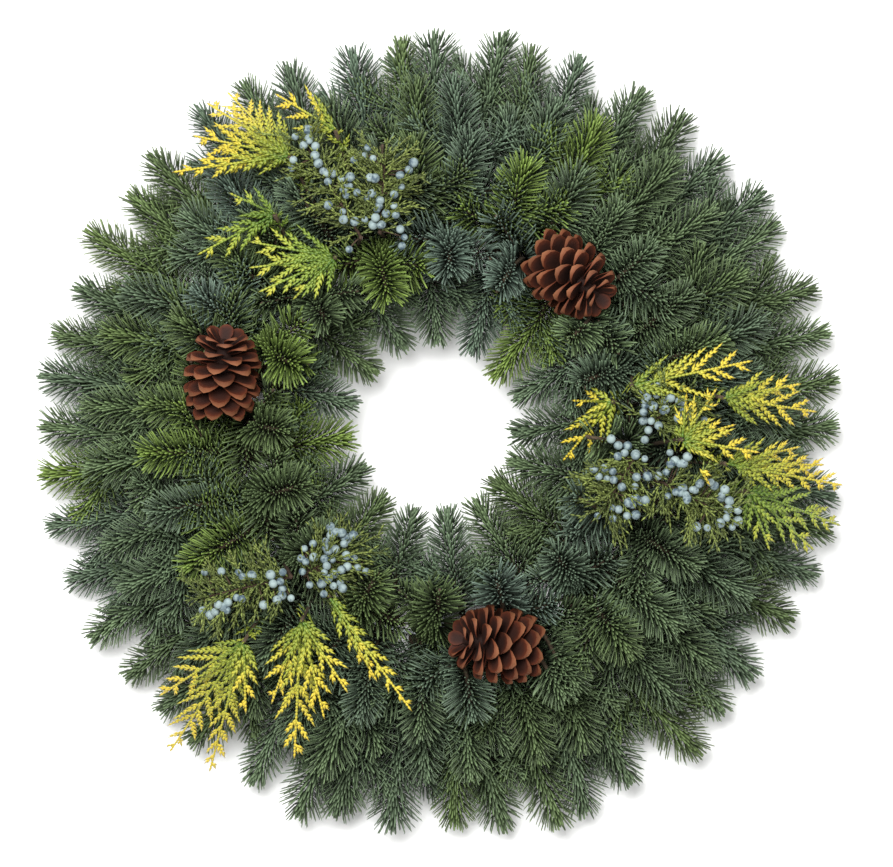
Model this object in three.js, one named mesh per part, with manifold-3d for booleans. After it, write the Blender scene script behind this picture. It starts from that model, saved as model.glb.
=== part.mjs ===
// A fresh evergreen wreath on a clamp ring, in millimetres. It lies on its back: +Z comes out of its face,
// +Y is its top. Fir branches are held by the ring's clamps, with golden cedar, berried juniper and
// three pine cones set among them. Everything is placed round the ring's centre, in millimetres or as polar
// radius and angle, and the whole is moved at the end so that its box stands on the origin.
import * as THREE from "three";
import { mergeVertices } from "three/addons/utils/BufferGeometryUtils.js";
import Module from "manifold-3d";

const wasm = await Module();
wasm.setup();

// ---- Driving dimensions ----

const CLAMP_COUNT = 16;
const CLAMP_PITCH = 360 / CLAMP_COUNT; // degrees
const RING_RADIUS = 152; // a 12 inch ring
const RING_WIRE = 4;
const CLAMP_WIRE = 2.6;
const CLAMP_WIDTH = 3.4; // along the ring
const CLAMP_SPREAD = 33; // across the ring, outside to outside
const CLAMP_HEIGHT = 15.1;
const CLAMP_MOUTH = 5; // between the bent prong tips
const GAP = 0.3; // between pieces that touch

const BRANCH_RADIUS = 5.1;
const BRANCH_OFFSET = 7; // of each woody branch from the ring's circle
const BRANCH_SPAN = 18.4; // degrees of the ring
const CORE_RADIUS = 3.3; // of a fir spray
const CORE_SIDES = 3;
const CORE_PLACES = [0, 0.36, 0.86, 1]; // where the core bends, along its curve
const NEEDLE_LENGTH = 23;
const NEEDLE_WIDTH = 2;
const NEEDLE_PLACES = [0.43, 0.6, 0.77]; // along the core, besides the one that ends it
const LOWEST = 0.7; // of any foliage above the surface

const RIM_REACH = 303; // radius of the outer spray tips
const HOLE_REACH = 62; // radius of the inner spray tips
const HOLE_SHIFT = 8; // the hole is this much wider towards HOLE_SHIFT_ANGLE
const HOLE_SHIFT_ANGLE = 140;

const CONE_LENGTH = 76;
const CONE_RADIUS = 33;
const CONE_SCALES = 26;
const SCALE_THICKNESS = 2.2;
const CONE_STUB = 4; // where its wire holds it
const WIRE_RADIUS = 0.9;
const BERRY_RADIUS = 4;
const BLADE_THICKNESS = 0.8;
const STEM_RADIUS = 1.4; // of cedar and juniper, where they stand between the branches

// ---- Materials ----

function material(color, roughness, metalness = 0) {
  return new THREE.MeshStandardMaterial({ color, roughness, metalness });
}

const galvanised = material(0x8b8f8e, 0.45, 0.9);
const firGreen = material(0x4e6048, 0.7);
const coneBrown = material(0x6b3f2a, 0.75);
const cedarGold = material(0xb3ae4a, 0.6);
const cedarGreen = material(0x7c9848, 0.6);
const juniperGreen = material(0x5d6d45, 0.7);

// ---- Small tools ----

const GOLDEN_ANGLE = 137.508; // degrees between one leaf or scale and the next

// A repeatable random number from 0 to 1 for each pair of whole numbers.
function noise(a, b) {
  const wave = Math.sin(a * 12.9898 + b * 78.233) * 43758.5453;
  return wave - Math.floor(wave);
}

function spread(a, b, amount) {
  return (2 * noise(a, b) - 1) * amount;
}

function polar(radius, degrees, z) {
  const angle = THREE.MathUtils.degToRad(degrees);
  return new THREE.Vector3(radius * Math.cos(angle), radius * Math.sin(angle), z);
}

function solidFrom(geometry) {
  geometry.deleteAttribute("normal");
  geometry.deleteAttribute("uv");
  const merged = mergeVertices(geometry, 1e-4);
  const corners = merged.index.array;
  const triangles = [];
  for (let i = 0; i < corners.length; i += 3) {
    const [a, b, c] = corners.slice(i, i + 3);
    if (a !== b && b !== c && c !== a) triangles.push(a, b, c); // a pointed end merges into one vertex
  }
  return new wasm.Manifold(
    new wasm.Mesh({
      numProp: 3,
      vertProperties: new Float32Array(merged.attributes.position.array),
      triVerts: new Uint32Array(triangles),
    }),
  );
}

// One closed body from several that run into each other.
function fuse(name, geometries, look) {
  const mesh = wasm.Manifold.union(geometries.map(solidFrom)).getMesh();
  const geometry = new THREE.BufferGeometry();
  geometry.setAttribute("position", new THREE.BufferAttribute(mesh.vertProperties, 3));
  geometry.setIndex(new THREE.BufferAttribute(mesh.triVerts, 1));
  const piece = new THREE.Mesh(geometry, look);
  piece.name = name;
  return piece;
}

// The directions across a stem at any place along it, without twist.
const FRAME_STEPS = 40;

function acrossAt(curve, t) {
  curve.frames ??= curve.computeFrenetFrames(FRAME_STEPS, false);
  const step = Math.round(t * FRAME_STEPS);
  return [curve.frames.normals[step], curve.frames.binormals[step]];
}

// A stem that follows a curve: a cylinder with few sides, bent at the places given, whose radius is a
// function of the way along.
function bentStem(curve, radiusAt, sides, places) {
  const steps = places.length - 1;
  const geometry = new THREE.CylinderGeometry(1, 1, 1, sides, steps);
  const place = geometry.attributes.position;
  for (let i = 0; i < place.count; i++) {
    const t = places[Math.round((place.getY(i) + 0.5) * steps)];
    const [normal, binormal] = acrossAt(curve, t);
    const point = curve.getPoint(t);
    point.addScaledVector(normal, place.getX(i) * radiusAt(t));
    point.addScaledVector(binormal, -place.getZ(i) * radiusAt(t));
    place.setXYZ(i, point.x, point.y, point.z);
  }
  return geometry;
}

// A three-sided needle whose root is sunk a little into what it grows from.
function needleGeometry({ root, direction, length, width = NEEDLE_WIDTH }) {
  const geometry = new THREE.ConeGeometry(width / 2, length, 3, 1);
  geometry.translate(0, length / 2, 0);
  const turn = new THREE.Quaternion().setFromUnitVectors(new THREE.Vector3(0, 1, 0), direction);
  geometry.applyQuaternion(turn);
  geometry.translate(root.x, root.y, root.z);
  return geometry;
}

// ---- Room already taken ----

// Every piece claims the room that it fills, as fat lines. What comes later is bent clear of the others.
const claims = [];

function claim(owner, from, to, radius) {
  claims.push({ owner, line: new THREE.Line3(from.clone(), to.clone()), radius });
}

function claimAlong(owner, points, radius) {
  points.slice(1).forEach((point, i) => claim(owner, points[i], point, radius));
}

const nearest = new THREE.Vector3();

function isClear(owner, points, radius) {
  return claims.every((taken) => {
    if (taken.owner === owner) return true;
    const room = taken.radius + radius + GAP;
    return points.every((point) => {
      taken.line.closestPointToPoint(point, true, nearest);
      return nearest.distanceTo(point) > room;
    });
  });
}

// ---- Wire ring with its clamps ----

const RING_NAME = "wire_ring_frame";
const RING_HEIGHT = CLAMP_WIRE + RING_WIRE / 2 - 0.4; // the ring's wire is welded onto the clamps' bases
const BRANCH_HEIGHT = CLAMP_WIRE + GAP + BRANCH_RADIUS * Math.cos(Math.PI / 5); // five-sided, on the bases
const SEAT_HEIGHT = RING_HEIGHT + RING_WIRE / 2 + 0.1; // of stems that stand on the ring between the branches
const SEAT_INSET = 0.3; // straight branches leave the room between them a little inside the ring's circle

// A clamp's side view: a flat base, two prongs, and their tips bent in over the branches.
function clampGeometry(degrees) {
  const half = CLAMP_SPREAD / 2;
  const inside = half - CLAMP_WIRE;
  const under = CLAMP_HEIGHT - CLAMP_WIRE;
  const mouth = CLAMP_MOUTH / 2;
  const right = [
    [half, 0],
    [half, CLAMP_HEIGHT],
    [mouth, CLAMP_HEIGHT],
    [mouth, under],
    [inside, under],
    [inside, CLAMP_WIRE],
  ];
  const left = right.map(([x, z]) => [-x, z]).reverse();
  const outline = [...right, ...left].map(([x, z]) => new THREE.Vector2(x, z));
  const geometry = new THREE.ExtrudeGeometry(new THREE.Shape(outline), {
    depth: CLAMP_WIDTH,
    bevelEnabled: false,
  });
  geometry.translate(0, 0, -CLAMP_WIDTH / 2);
  geometry.rotateX(Math.PI / 2);
  geometry.translate(RING_RADIUS, 0, 0);
  geometry.rotateZ(THREE.MathUtils.degToRad(degrees));
  return geometry;
}

function wireRing() {
  const ring = new THREE.TorusGeometry(RING_RADIUS, RING_WIRE / 2, 6, 2 * CLAMP_COUNT);
  ring.rotateZ(Math.PI / CLAMP_COUNT / 2);
  ring.translate(0, 0, RING_HEIGHT);
  const pieces = [ring];
  for (let k = 0; k < CLAMP_COUNT; k++) {
    const angle = k * CLAMP_PITCH;
    pieces.push(clampGeometry(angle));
    for (const sign of [-1, 1]) {
      const foot = polar(RING_RADIUS + (sign * (CLAMP_SPREAD - CLAMP_WIRE)) / 2, angle, 0);
      const bend = foot.clone().setZ(CLAMP_HEIGHT - 1);
      const tip = polar(RING_RADIUS + (sign * CLAMP_MOUTH) / 2, angle, CLAMP_HEIGHT - 1);
      claimAlong(RING_NAME, [foot, bend, tip], 2.2);
    }
    const arc = [0, 0.25, 0.5, 0.75, 1].map((t) =>
      polar(RING_RADIUS, angle + t * CLAMP_PITCH, RING_HEIGHT),
    );
    claimAlong(RING_NAME, arc, RING_WIRE / 2);
  }
  return fuse(RING_NAME, pieces, galvanised);
}

// ---- Woody branches in the clamps ----

class ArcCurve extends THREE.Curve {
  constructor(radius, from, to, z) {
    super();
    Object.assign(this, { radius, from, to, z });
  }

  getPoint(t) {
    return polar(this.radius, this.from + t * (this.to - this.from), this.z);
  }
}

// Each clamp holds two branches: the outer one carries the sprays that point out, the inner one
// those that point in and to the front.
const BRANCHES = [];
for (let k = 0; k < CLAMP_COUNT; k++) {
  for (const side of ["outer", "inner"]) {
    const radius = RING_RADIUS + (side === "outer" ? BRANCH_OFFSET : -BRANCH_OFFSET);
    const middle = k * CLAMP_PITCH;
    BRANCHES.push({
      name: `fir_branch_${side}_${String(k + 1).padStart(2, "0")}`,
      side,
      index: k,
      middle,
      radius,
      arc: new ArcCurve(radius, middle - BRANCH_SPAN / 2, middle + BRANCH_SPAN / 2, BRANCH_HEIGHT),
    });
  }
}

function branchGeometry(branch) {
  const geometry = new THREE.CylinderGeometry(BRANCH_RADIUS, BRANCH_RADIUS, 1, 5, 2);
  const place = geometry.attributes.position;
  for (let i = 0; i < place.count; i++) {
    const centre = branch.arc.getPoint(place.getY(i) + 0.5);
    const outward = centre.clone().setZ(0).normalize();
    centre.addScaledVector(outward, place.getX(i));
    centre.z += place.getZ(i);
    place.setXYZ(i, centre.x, centre.y, centre.z);
  }
  return geometry;
}

// ---- Fir sprays ----

// Rows of sprays on each branch: where the stem leaves the branch and where its tip lies, in degrees from
// the clamp.
const SPRAYS = {
  outer: [
    { row: "rim", leaves: -7.4, tip: -7.5 },
    { row: "rim", leaves: 3.1, tip: 0 },
    { row: "rim", leaves: 7.4, tip: 7.5 },
    { row: "mid", leaves: -5, tip: -3.9 },
    { row: "mid", leaves: 5.2, tip: 3.9 },
    { row: "crown", leaves: -3.2, tip: -5.6 },
  ],
  inner: [
    { row: "crown", leaves: 4.4, tip: 5.6 },
    { row: "lip", leaves: -4.6, tip: -1 },
    { row: "hole", leaves: 7.2, tip: 2 },
  ],
};

// Each row's stem rises to a knee and ends at a tip, as radius and height.
const ROWS = {
  rim: { knee: [228, 34], tip: [RIM_REACH, 22], loose: 7 },
  mid: { knee: [196, 66], tip: [264, 60], loose: 9 },
  crown: { knee: [166, 90], tip: [222, 96], loose: 9 },
  lip: { knee: [152, 96], tip: [112, 118], loose: 9 },
  hole: { knee: [112, 52], tip: [HOLE_REACH, 44], loose: 4 },
};

function holeReach(degrees) {
  return HOLE_SHIFT * Math.cos(THREE.MathUtils.degToRad(degrees - HOLE_SHIFT_ANGLE));
}

// The stem's curve, with its tip turned and pressed down by the amounts given.
function sprayCurve(branch, spray, order, turn, press) {
  const { knee, tip, loose } = ROWS[spray.row];
  const seed = branch.index * 16 + (branch.side === "outer" ? 0 : 8) + order;
  const tipAngle = branch.middle + spray.tip + spread(seed, 1, 2.2) + turn;
  const kneeAngle = branch.middle + (spray.leaves + spray.tip) / 2 + spread(seed, 2, 1.6) + turn / 2;
  const shift = spray.row === "hole" ? holeReach(tipAngle) : 0;
  const tipRadius = tip[0] + spread(seed, 3, loose) + shift;
  const kneeRadius = knee[0] + spread(seed, 4, 5) + shift / 2;
  const tipHeight = tip[1] + spread(seed, 5, 6) - press;
  const kneeHeight = knee[1] + spread(seed, 6, 5) - press;
  return new THREE.QuadraticBezierCurve3(
    polar(branch.radius, branch.middle + spray.leaves, BRANCH_HEIGHT),
    polar(kneeRadius, kneeAngle, Math.max(kneeHeight, 14)),
    polar(tipRadius, tipAngle, Math.max(tipHeight, 14)),
  );
}

// The first way of bending the stem that keeps clear of everything placed before it.
function settle(branch, spray, order) {
  for (const press of [0, 8, 16, 24, 32, 40]) {
    for (const turn of [0, 3, -3, 6, -6, 9, -9, 12, -12]) {
      const curve = sprayCurve(branch, spray, order, turn, press);
      if (isClear(branch.name, corePoints(curve, 14), CORE_RADIUS)) return curve;
    }
  }
  return null;
}

// The core tapers to the point of the needle that ends it.
function coreRadiusAt(t) {
  return t < 1 ? CORE_RADIUS * (1 - 0.3 * t) : 0;
}

// The core is straight between its bends, so needles are rooted on that line and not on the curve.
function coreStep(t) {
  return t < CORE_PLACES[1] ? 0 : t < CORE_PLACES[2] ? 1 : 2;
}

function coreCentre(curve, t) {
  const step = coreStep(t);
  const [from, to] = [CORE_PLACES[step], CORE_PLACES[step + 1]];
  return curve.getPoint(from).lerp(curve.getPoint(to), (t - from) / (to - from));
}

function corePoints(curve, count) {
  return Array.from({ length: count + 1 }, (_, i) => coreCentre(curve, i / count));
}

// Places one needle on a face of the core, turning it on until it crosses no other piece.
function growNeedle(owner, curve, seed, t) {
  const point = coreCentre(curve, t);
  const along = curve.getTangent(t);
  const [normal, binormal] = acrossAt(curve, t);
  // A diagonal splits each face in two, and the needle stands in the middle of the larger part.
  const middle = (t - CORE_PLACES[1]) / (CORE_PLACES[2] - CORE_PLACES[1]);
  const across = middle < 0.5 ? (1 + middle) / 2 : middle / 2;
  for (let attempt = 0; attempt < 4 * CORE_SIDES; attempt++) {
    const face = (seed + attempt) % CORE_SIDES;
    const around = ((face + across) / CORE_SIDES) * 2 * Math.PI;
    const lean = THREE.MathUtils.degToRad(50 - 16 * t - 8 * Math.floor(attempt / CORE_SIDES));
    const length = NEEDLE_LENGTH * (1 - 0.12 * noise(seed, 7));
    const direction = along.clone().multiplyScalar(Math.cos(lean));
    direction.addScaledVector(normal, Math.sin(lean) * Math.sin(around));
    direction.addScaledVector(binormal, -Math.sin(lean) * Math.cos(around));
    direction.normalize();
    const reach = [0.25, 0.4, 0.55, 0.7, 0.85, 1].map((s) =>
      point.clone().addScaledVector(direction, s * length),
    );
    if (reach.some((place) => place.z < LOWEST)) continue;
    if (!isClear(owner, reach, NEEDLE_WIDTH / 2)) continue;
    claim(owner, reach[0], reach[5], NEEDLE_WIDTH / 2);
    return needleGeometry({ root: point, direction, length });
  }
  return null;
}

function sprayNeedles(owner, curve, seed) {
  const needles = NEEDLE_PLACES.map((t, i) => growNeedle(owner, curve, seed * 7 + i, t));
  return needles.filter(Boolean);
}

function growStems() {
  for (const branch of BRANCHES) {
    claimAlong(branch.name, branch.arc.getPoints(4), BRANCH_RADIUS);
  }
  for (const branch of BRANCHES) {
    branch.stems = [];
    SPRAYS[branch.side].forEach((spray, order) => {
      const curve = settle(branch, spray, order);
      if (!curve) return;
      claimAlong(branch.name, corePoints(curve, 7), CORE_RADIUS);
      branch.stems.push({ curve, seed: branch.index * 16 + (branch.side === "outer" ? 0 : 8) + order });
    });
  }
}

function firBranches() {
  return BRANCHES.map((branch) => {
    const pieces = [branchGeometry(branch)];
    for (const { curve, seed } of branch.stems) {
      pieces.push(bentStem(curve, coreRadiusAt, CORE_SIDES, CORE_PLACES));
      pieces.push(...sprayNeedles(branch.name, curve, seed));
    }
    return fuse(branch.name, pieces, firGreen);
  });
}

// ---- Pine cones and their wires ----

// Centre and the direction of the tip, round the ring's centre. A seat is a place on the ring between two
// branches: the clamp's number and the degrees from it.
const CONES = [
  { place: "left", centre: [-163, 48, 103], axis: [0.06, 0.9, 0.42], seat: [7, 6] },
  { place: "right", centre: [98, 116, 103], axis: [0.7, -0.52, 0.48], seat: [2, 6] },
  { place: "bottom", centre: [38, -156, 103], axis: [-0.88, 0.12, 0.45], seat: [12, 5.6] },
];

function coneScale(index) {
  const up = (index + 0.5) / CONE_SCALES;
  const reach = CONE_RADIUS * Math.sqrt(1 - ((up - 0.36) / 0.72) ** 2);
  const width = 0.27 * reach + 0.6;
  const outline = [
    [7, 2],
    [reach * 0.72, width],
    [reach, 0],
    [reach * 0.72, -width],
    [7, -2],
  ];
  const geometry = new THREE.ExtrudeGeometry(
    new THREE.Shape(outline.map(([x, y]) => new THREE.Vector2(x, y))),
    { depth: SCALE_THICKNESS, bevelEnabled: false },
  );
  const lift = THREE.MathUtils.degToRad(-28 + 84 * up);
  geometry.rotateY(-lift);
  geometry.rotateZ(THREE.MathUtils.degToRad(index * GOLDEN_ANGLE));
  geometry.translate(0, 0, CONE_LENGTH * (-0.36 + 0.66 * up));
  return geometry;
}

function pineCone({ place, centre, axis }) {
  const half = CONE_LENGTH / 2;
  const profile = [
    [0, -half],
    [CONE_STUB, -half],
    [8, -half * 0.7],
    [8, half * 0.45],
    [4, half * 0.9],
    [0, half * 0.92],
  ];
  const core = new THREE.LatheGeometry(
    profile.map(([x, y]) => new THREE.Vector2(x, y)),
    7,
  );
  core.rotateX(Math.PI / 2);
  const scales = Array.from({ length: CONE_SCALES }, (_, index) => coneScale(index));
  const piece = fuse(`pine_cone_${place}`, [core, ...scales], coneBrown);
  piece.position.set(...centre);
  const direction = new THREE.Vector3(...axis).normalize();
  piece.quaternion.setFromUnitVectors(new THREE.Vector3(0, 0, 1), direction);
  return piece;
}

function seatPoint([clampNumber, degrees], z) {
  return polar(RING_RADIUS - SEAT_INSET, clampNumber * CLAMP_PITCH + degrees, z);
}

// From the middle of the cone's base down to the ring.
function wireCurve({ centre, axis, seat }) {
  const direction = new THREE.Vector3(...axis).normalize();
  const middle = new THREE.Vector3(...centre);
  const start = middle.clone().addScaledVector(direction, -CONE_LENGTH / 2 - GAP);
  const away = middle.clone().addScaledVector(direction, -CONE_LENGTH / 2 - 22);
  return new THREE.CubicBezierCurve3(start, away, seatPoint(seat, 46), seatPoint(seat, SEAT_HEIGHT));
}

function claimCones() {
  for (const cone of CONES) {
    const direction = new THREE.Vector3(...cone.axis).normalize();
    const middle = new THREE.Vector3(...cone.centre);
    for (const [along, radius] of [
      [-14, CONE_RADIUS - 3],
      [4, CONE_RADIUS - 2],
      [20, CONE_RADIUS * 0.7],
    ]) {
      const spot = middle.clone().addScaledVector(direction, along);
      claim(`pine_cone_${cone.place}`, spot, spot, radius);
    }
    claimAlong(`cone_wire_${cone.place}`, wireCurve(cone).getPoints(12), WIRE_RADIUS);
  }
}

function coneWire(cone) {
  const places = Array.from({ length: 7 }, (_, i) => i / 6);
  const wire = bentStem(wireCurve(cone), () => WIRE_RADIUS, 4, places);
  return fuse(`cone_wire_${cone.place}`, [wire], galvanised);
}

// ---- Golden cedar ----

// How high the foliage stands at each distance from the ring's centre.
function foliageHeight(radius) {
  const slope = radius > 160 ? (radius - 160) / 150 : (160 - radius) / 100;
  return 116 - 84 * slope ** 2;
}

// Each piece has a hub from which its fronds fan out, and a seat for its stem. A frond has its tip, its
// half width and its pairs of lobes.
const CEDARS = [
  {
    name: "cedar_top_gold",
    look: cedarGold,
    hub: [-113, 207],
    seat: [5, 7],
    fronds: [
      [-160, 256, 13, 4],
      [-175, 248, 12, 4],
      [-184, 223, 12, 4],
      [-176, 205, 9, 3],
      [-198, 196, 6, 4],
    ],
  },
  { name: "cedar_top_tip", look: cedarGold, hub: [-79, 226], seat: [5, -2.6], fronds: [[-122, 253, 12, 4]] },
  {
    name: "cedar_top_green",
    look: cedarGreen,
    hub: [-124, 163],
    seat: [6, -3.4],
    fronds: [
      [-155, 178, 8, 3],
      [-178, 135, 10, 3],
    ],
  },
  {
    name: "cedar_top_fan",
    look: cedarGreen,
    hub: [-79, 131],
    seat: [6, -7.6],
    fronds: [
      [-142, 143, 12, 4],
      [-139, 124, 12, 4],
      [-132, 107, 11, 3],
      [-107, 103, 10, 3],
    ],
  },
  { name: "cedar_right_long", look: cedarGold, hub: [141, 36], seat: [1, -3.2], fronds: [[228, 54, 14, 5]] },
  {
    name: "cedar_right_inner",
    look: cedarGold,
    hub: [127, 24],
    seat: [0, 7.4],
    fronds: [
      [92, -18, 10, 3],
      [100, 25, 7, 3],
    ],
  },
  {
    name: "cedar_right_outer",
    look: cedarGold,
    hub: [209, 27],
    seat: [1, -7.4],
    fronds: [
      [278, 17, 12, 5],
      [265, 37, 9, 3],
    ],
  },
  {
    name: "cedar_right_star",
    look: cedarGold,
    hub: [178, -4],
    lift: 10,
    seat: [0, -3.2],
    fronds: [
      [202, 31, 8, 3],
      [181, 26, 7, 2],
      [214, 6, 9, 3],
      [232, -13, 10, 3],
      [196, -34, 9, 2],
    ],
  },
  {
    name: "cedar_right_fan",
    look: cedarGold,
    hub: [211, -22],
    seat: [0, -7.4],
    fronds: [
      [265, -10, 9, 3],
      [284, -23, 10, 3],
      [299, -38, 11, 3],
    ],
  },
  {
    name: "cedar_right_green",
    look: cedarGreen,
    hub: [228, -42],
    seat: [15, -3.2],
    fronds: [
      [298, -68, 11, 3],
      [277, -85, 11, 3],
      [243, -83, 10, 3],
    ],
  },
  {
    name: "cedar_bottom_left",
    look: cedarGold,
    hub: [-147, -154],
    seat: [10, -3.4],
    fronds: [
      [-210, -195, 12, 4],
      [-204, -238, 12, 5],
      [-174, -252, 10, 3],
      [-146, -204, 9, 3],
    ],
  },
  {
    name: "cedar_bottom_middle",
    look: cedarGold,
    hub: [-104, -138],
    seat: [10, 6.6],
    fronds: [
      [-126, -198, 10, 3],
      [-110, -240, 12, 5],
      [-88, -208, 10, 3],
      [-72, -188, 8, 3],
    ],
  },
  {
    name: "cedar_bottom_thin",
    look: cedarGold,
    hub: [-84, -120],
    seat: [11, -6.6],
    fronds: [
      [-50, -180, 5, 4],
      [-24, -203, 5, 4],
    ],
  },
];

const ABOVE_FOLIAGE = 9;
const HUB_HEIGHT = 6.6;

function onFoliage([x, y], lift) {
  return new THREE.Vector3(x, y, foliageHeight(Math.hypot(x, y)) + lift);
}

// Fronds leave the hub one just above another, so that each keeps its own blade.
function frondCurve(piece, index) {
  const count = piece.fronds.length;
  const layer = (index - (count - 1) / 2) * 1.1;
  const lift = ABOVE_FOLIAGE + (piece.lift ?? 0);
  const hub = onFoliage(piece.hub, lift + layer);
  const tip = onFoliage(piece.fronds[index], lift + 4 * layer);
  const middle = hub.clone().lerp(tip, 0.5);
  middle.z = Math.max(middle.z, onFoliage([middle.x, middle.y], lift).z) + 5 + layer;
  return new THREE.QuadraticBezierCurve3(hub, middle, tip);
}

// A stem goes straight down from its hub and stands on the ring, between two branches.
function stemCurve(hub, seat) {
  return new THREE.CubicBezierCurve3(
    hub.clone().setZ(hub.z + HUB_HEIGHT / 2),
    hub.clone().setZ(hub.z - 26),
    seatPoint(seat, 60),
    seatPoint(seat, SEAT_HEIGHT),
  );
}

// A flat blade cut into pairs of forward lobes, bent along its curve.
function frondGeometry(curve, halfWidth, pairs) {
  const rib = 0.9;
  const bare = 0.16;
  const right = [[rib, 0]];
  for (let i = 0; i < pairs; i++) {
    const foot = bare + ((1 - bare) * i) / pairs;
    const step = (1 - bare) / pairs;
    const swell = Math.sin(Math.PI * (0.3 + (0.62 * (i + 0.5)) / pairs));
    right.push([rib, foot]);
    right.push([halfWidth * swell, foot + step * 0.95]);
  }
  right.push([rib, 1 - (0.55 * (1 - bare)) / pairs]);
  const left = right.map(([x, t]) => [-x, t]).reverse();
  const outline = [...right, [0, 1], ...left].map(([x, t]) => new THREE.Vector2(x, t));
  const geometry = new THREE.ExtrudeGeometry(new THREE.Shape(outline), {
    depth: BLADE_THICKNESS,
    bevelEnabled: false,
  });
  const place = geometry.attributes.position;
  for (let i = 0; i < place.count; i++) {
    const t = THREE.MathUtils.clamp(place.getY(i), 0, 1);
    const along = curve.getTangent(t);
    const side = new THREE.Vector3(along.y, -along.x, 0).normalize();
    const top = side.clone().cross(along);
    const point = curve.getPoint(t);
    point.addScaledVector(side, place.getX(i));
    point.addScaledVector(top, place.getZ(i) - BLADE_THICKNESS / 2);
    place.setXYZ(i, point.x, point.y, point.z);
  }
  return geometry;
}

function cedarStem(piece) {
  return stemCurve(onFoliage(piece.hub, ABOVE_FOLIAGE + (piece.lift ?? 0)), piece.seat);
}

function claimCedars() {
  for (const piece of CEDARS) {
    claimAlong(piece.name, cedarStem(piece).getPoints(12), STEM_RADIUS);
    piece.fronds.forEach(([, , halfWidth], index) => {
      claimAlong(piece.name, frondCurve(piece, index).getPoints(5), halfWidth * 0.8);
    });
  }
}

function thinStem(curve) {
  return bentStem(curve, (t) => STEM_RADIUS + 1.4 * (1 - t), 3, [0, 0.1, 0.4, 0.7, 0.9, 1]);
}

function cedar(piece) {
  const fronds = piece.fronds.map(([, , halfWidth, pairs], index) =>
    frondGeometry(frondCurve(piece, index), halfWidth, pairs),
  );
  return fuse(piece.name, [thinStem(cedarStem(piece)), ...fronds], piece.look);
}

// ---- Berried juniper ----

const JUNIPERS = [
  { name: "juniper_top_left", from: [-60, 146], tip: [-105, 222], seat: [5, 3] },
  { name: "juniper_top_right", from: [-46, 150], tip: [-42, 206], seat: [5, -6.8] },
  { name: "juniper_right_outer", from: [160, -34], tip: [214, -62], seat: [15, 3.4] },
  { name: "juniper_right_inner", from: [144, -16], tip: [120, -56], seat: [15, 7.4] },
  { name: "juniper_right_top", from: [157, 8], tip: [174, 26], lift: -12, seat: [0, 3.4] },
  { name: "juniper_bottom_left", from: [-112, -106], tip: [-180, -122], seat: [10, -7.6] },
  { name: "juniper_bottom_right", from: [-102, -104], tip: [-70, -86], seat: [10, 2.8] },
];
const BERRIES_PER_SPRIG = 4;
const TWIGS_PER_SPRIG = 4;

function sprigCurve(piece) {
  const from = onFoliage(piece.from, 2 + (piece.lift ?? 0));
  const tip = onFoliage(piece.tip, 7 + (piece.lift ?? 0));
  const middle = from.clone().lerp(tip, 0.5);
  middle.z += 9;
  return new THREE.QuadraticBezierCurve3(from, middle, tip);
}

function juniperStem(piece) {
  return stemCurve(sprigCurve(piece).getPoint(0), piece.seat);
}

function claimJunipers() {
  for (const piece of JUNIPERS) {
    claimAlong(piece.name, juniperStem(piece).getPoints(12), STEM_RADIUS + 0.4);
    claimAlong(piece.name, sprigCurve(piece).getPoints(5), 9);
  }
}

// A direction leaning off a curve, turned round it.
function offCurve(curve, t, lean, turn) {
  const [normal, binormal] = acrossAt(curve, t);
  const direction = curve.getTangent(t).multiplyScalar(Math.cos(lean));
  direction.addScaledVector(normal, Math.sin(lean) * Math.sin(turn));
  direction.addScaledVector(binormal, Math.sin(lean) * Math.cos(turn));
  return direction.normalize();
}

// Twigs and stalked berries take turns up the sprig.
function juniper(piece, order) {
  const curve = sprigCurve(piece);
  const bends = [0, 0.25, 0.5, 0.75, 1];
  const parts = [thinStem(juniperStem(piece)), bentStem(curve, (t) => 2.4 - 1.2 * t, 3, bends)];
  const count = BERRIES_PER_SPRIG + TWIGS_PER_SPRIG;
  for (let i = 0; i < count; i++) {
    const t = 0.08 + (0.84 * i) / (count - 1);
    const turn = THREE.MathUtils.degToRad(i * GOLDEN_ANGLE);
    const root = curve.getPoint(t);
    if (i % 2) {
      parts.push(needleGeometry({ root, direction: offCurve(curve, t, 0.7, turn), length: 20, width: 1.6 }));
      continue;
    }
    const direction = offCurve(curve, t, 1.1, turn);
    parts.push(needleGeometry({ root, direction, length: 8, width: 1.6 }));
    const radius = BERRY_RADIUS + spread(order, i, 0.5);
    const berry = new THREE.IcosahedronGeometry(radius, 0);
    const centre = root.addScaledVector(direction, radius + 3);
    berry.translate(centre.x, centre.y, centre.z);
    parts.push(berry);
  }
  return fuse(piece.name, parts, juniperGreen);
}

// ---- The wreath, its box standing on the origin ----

const wreath = new THREE.Group();
wreath.name = "wreath";
wreath.add(wireRing());
claimCones();
claimCedars();
claimJunipers();
growStems();
wreath.add(...firBranches());
wreath.add(...CONES.map(pineCone), ...CONES.map(coneWire));
wreath.add(...CEDARS.map(cedar), ...JUNIPERS.map(juniper));

const box = new THREE.Box3().setFromObject(wreath, true);
const middle = box.getCenter(new THREE.Vector3());
wreath.position.set(-middle.x, -middle.y, -box.min.z);

export default wreath;
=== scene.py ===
# %% [markdown]
# # A fresh evergreen wreath
#
# This wreath is noble fir, golden cedar, berried juniper and three pine cones, held by the clamps of a wire
# ring. It lies on its back, so its face looks up. Most of it is one small leaf repeated thousands of times.
# Particles or geometry nodes could scatter them. Here each kind of leaf is shaped once with bmesh, with few
# faces, and is copied along its stems by arithmetic on arrays, so that every piece is a plain mesh and
# every rule can be read.

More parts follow.
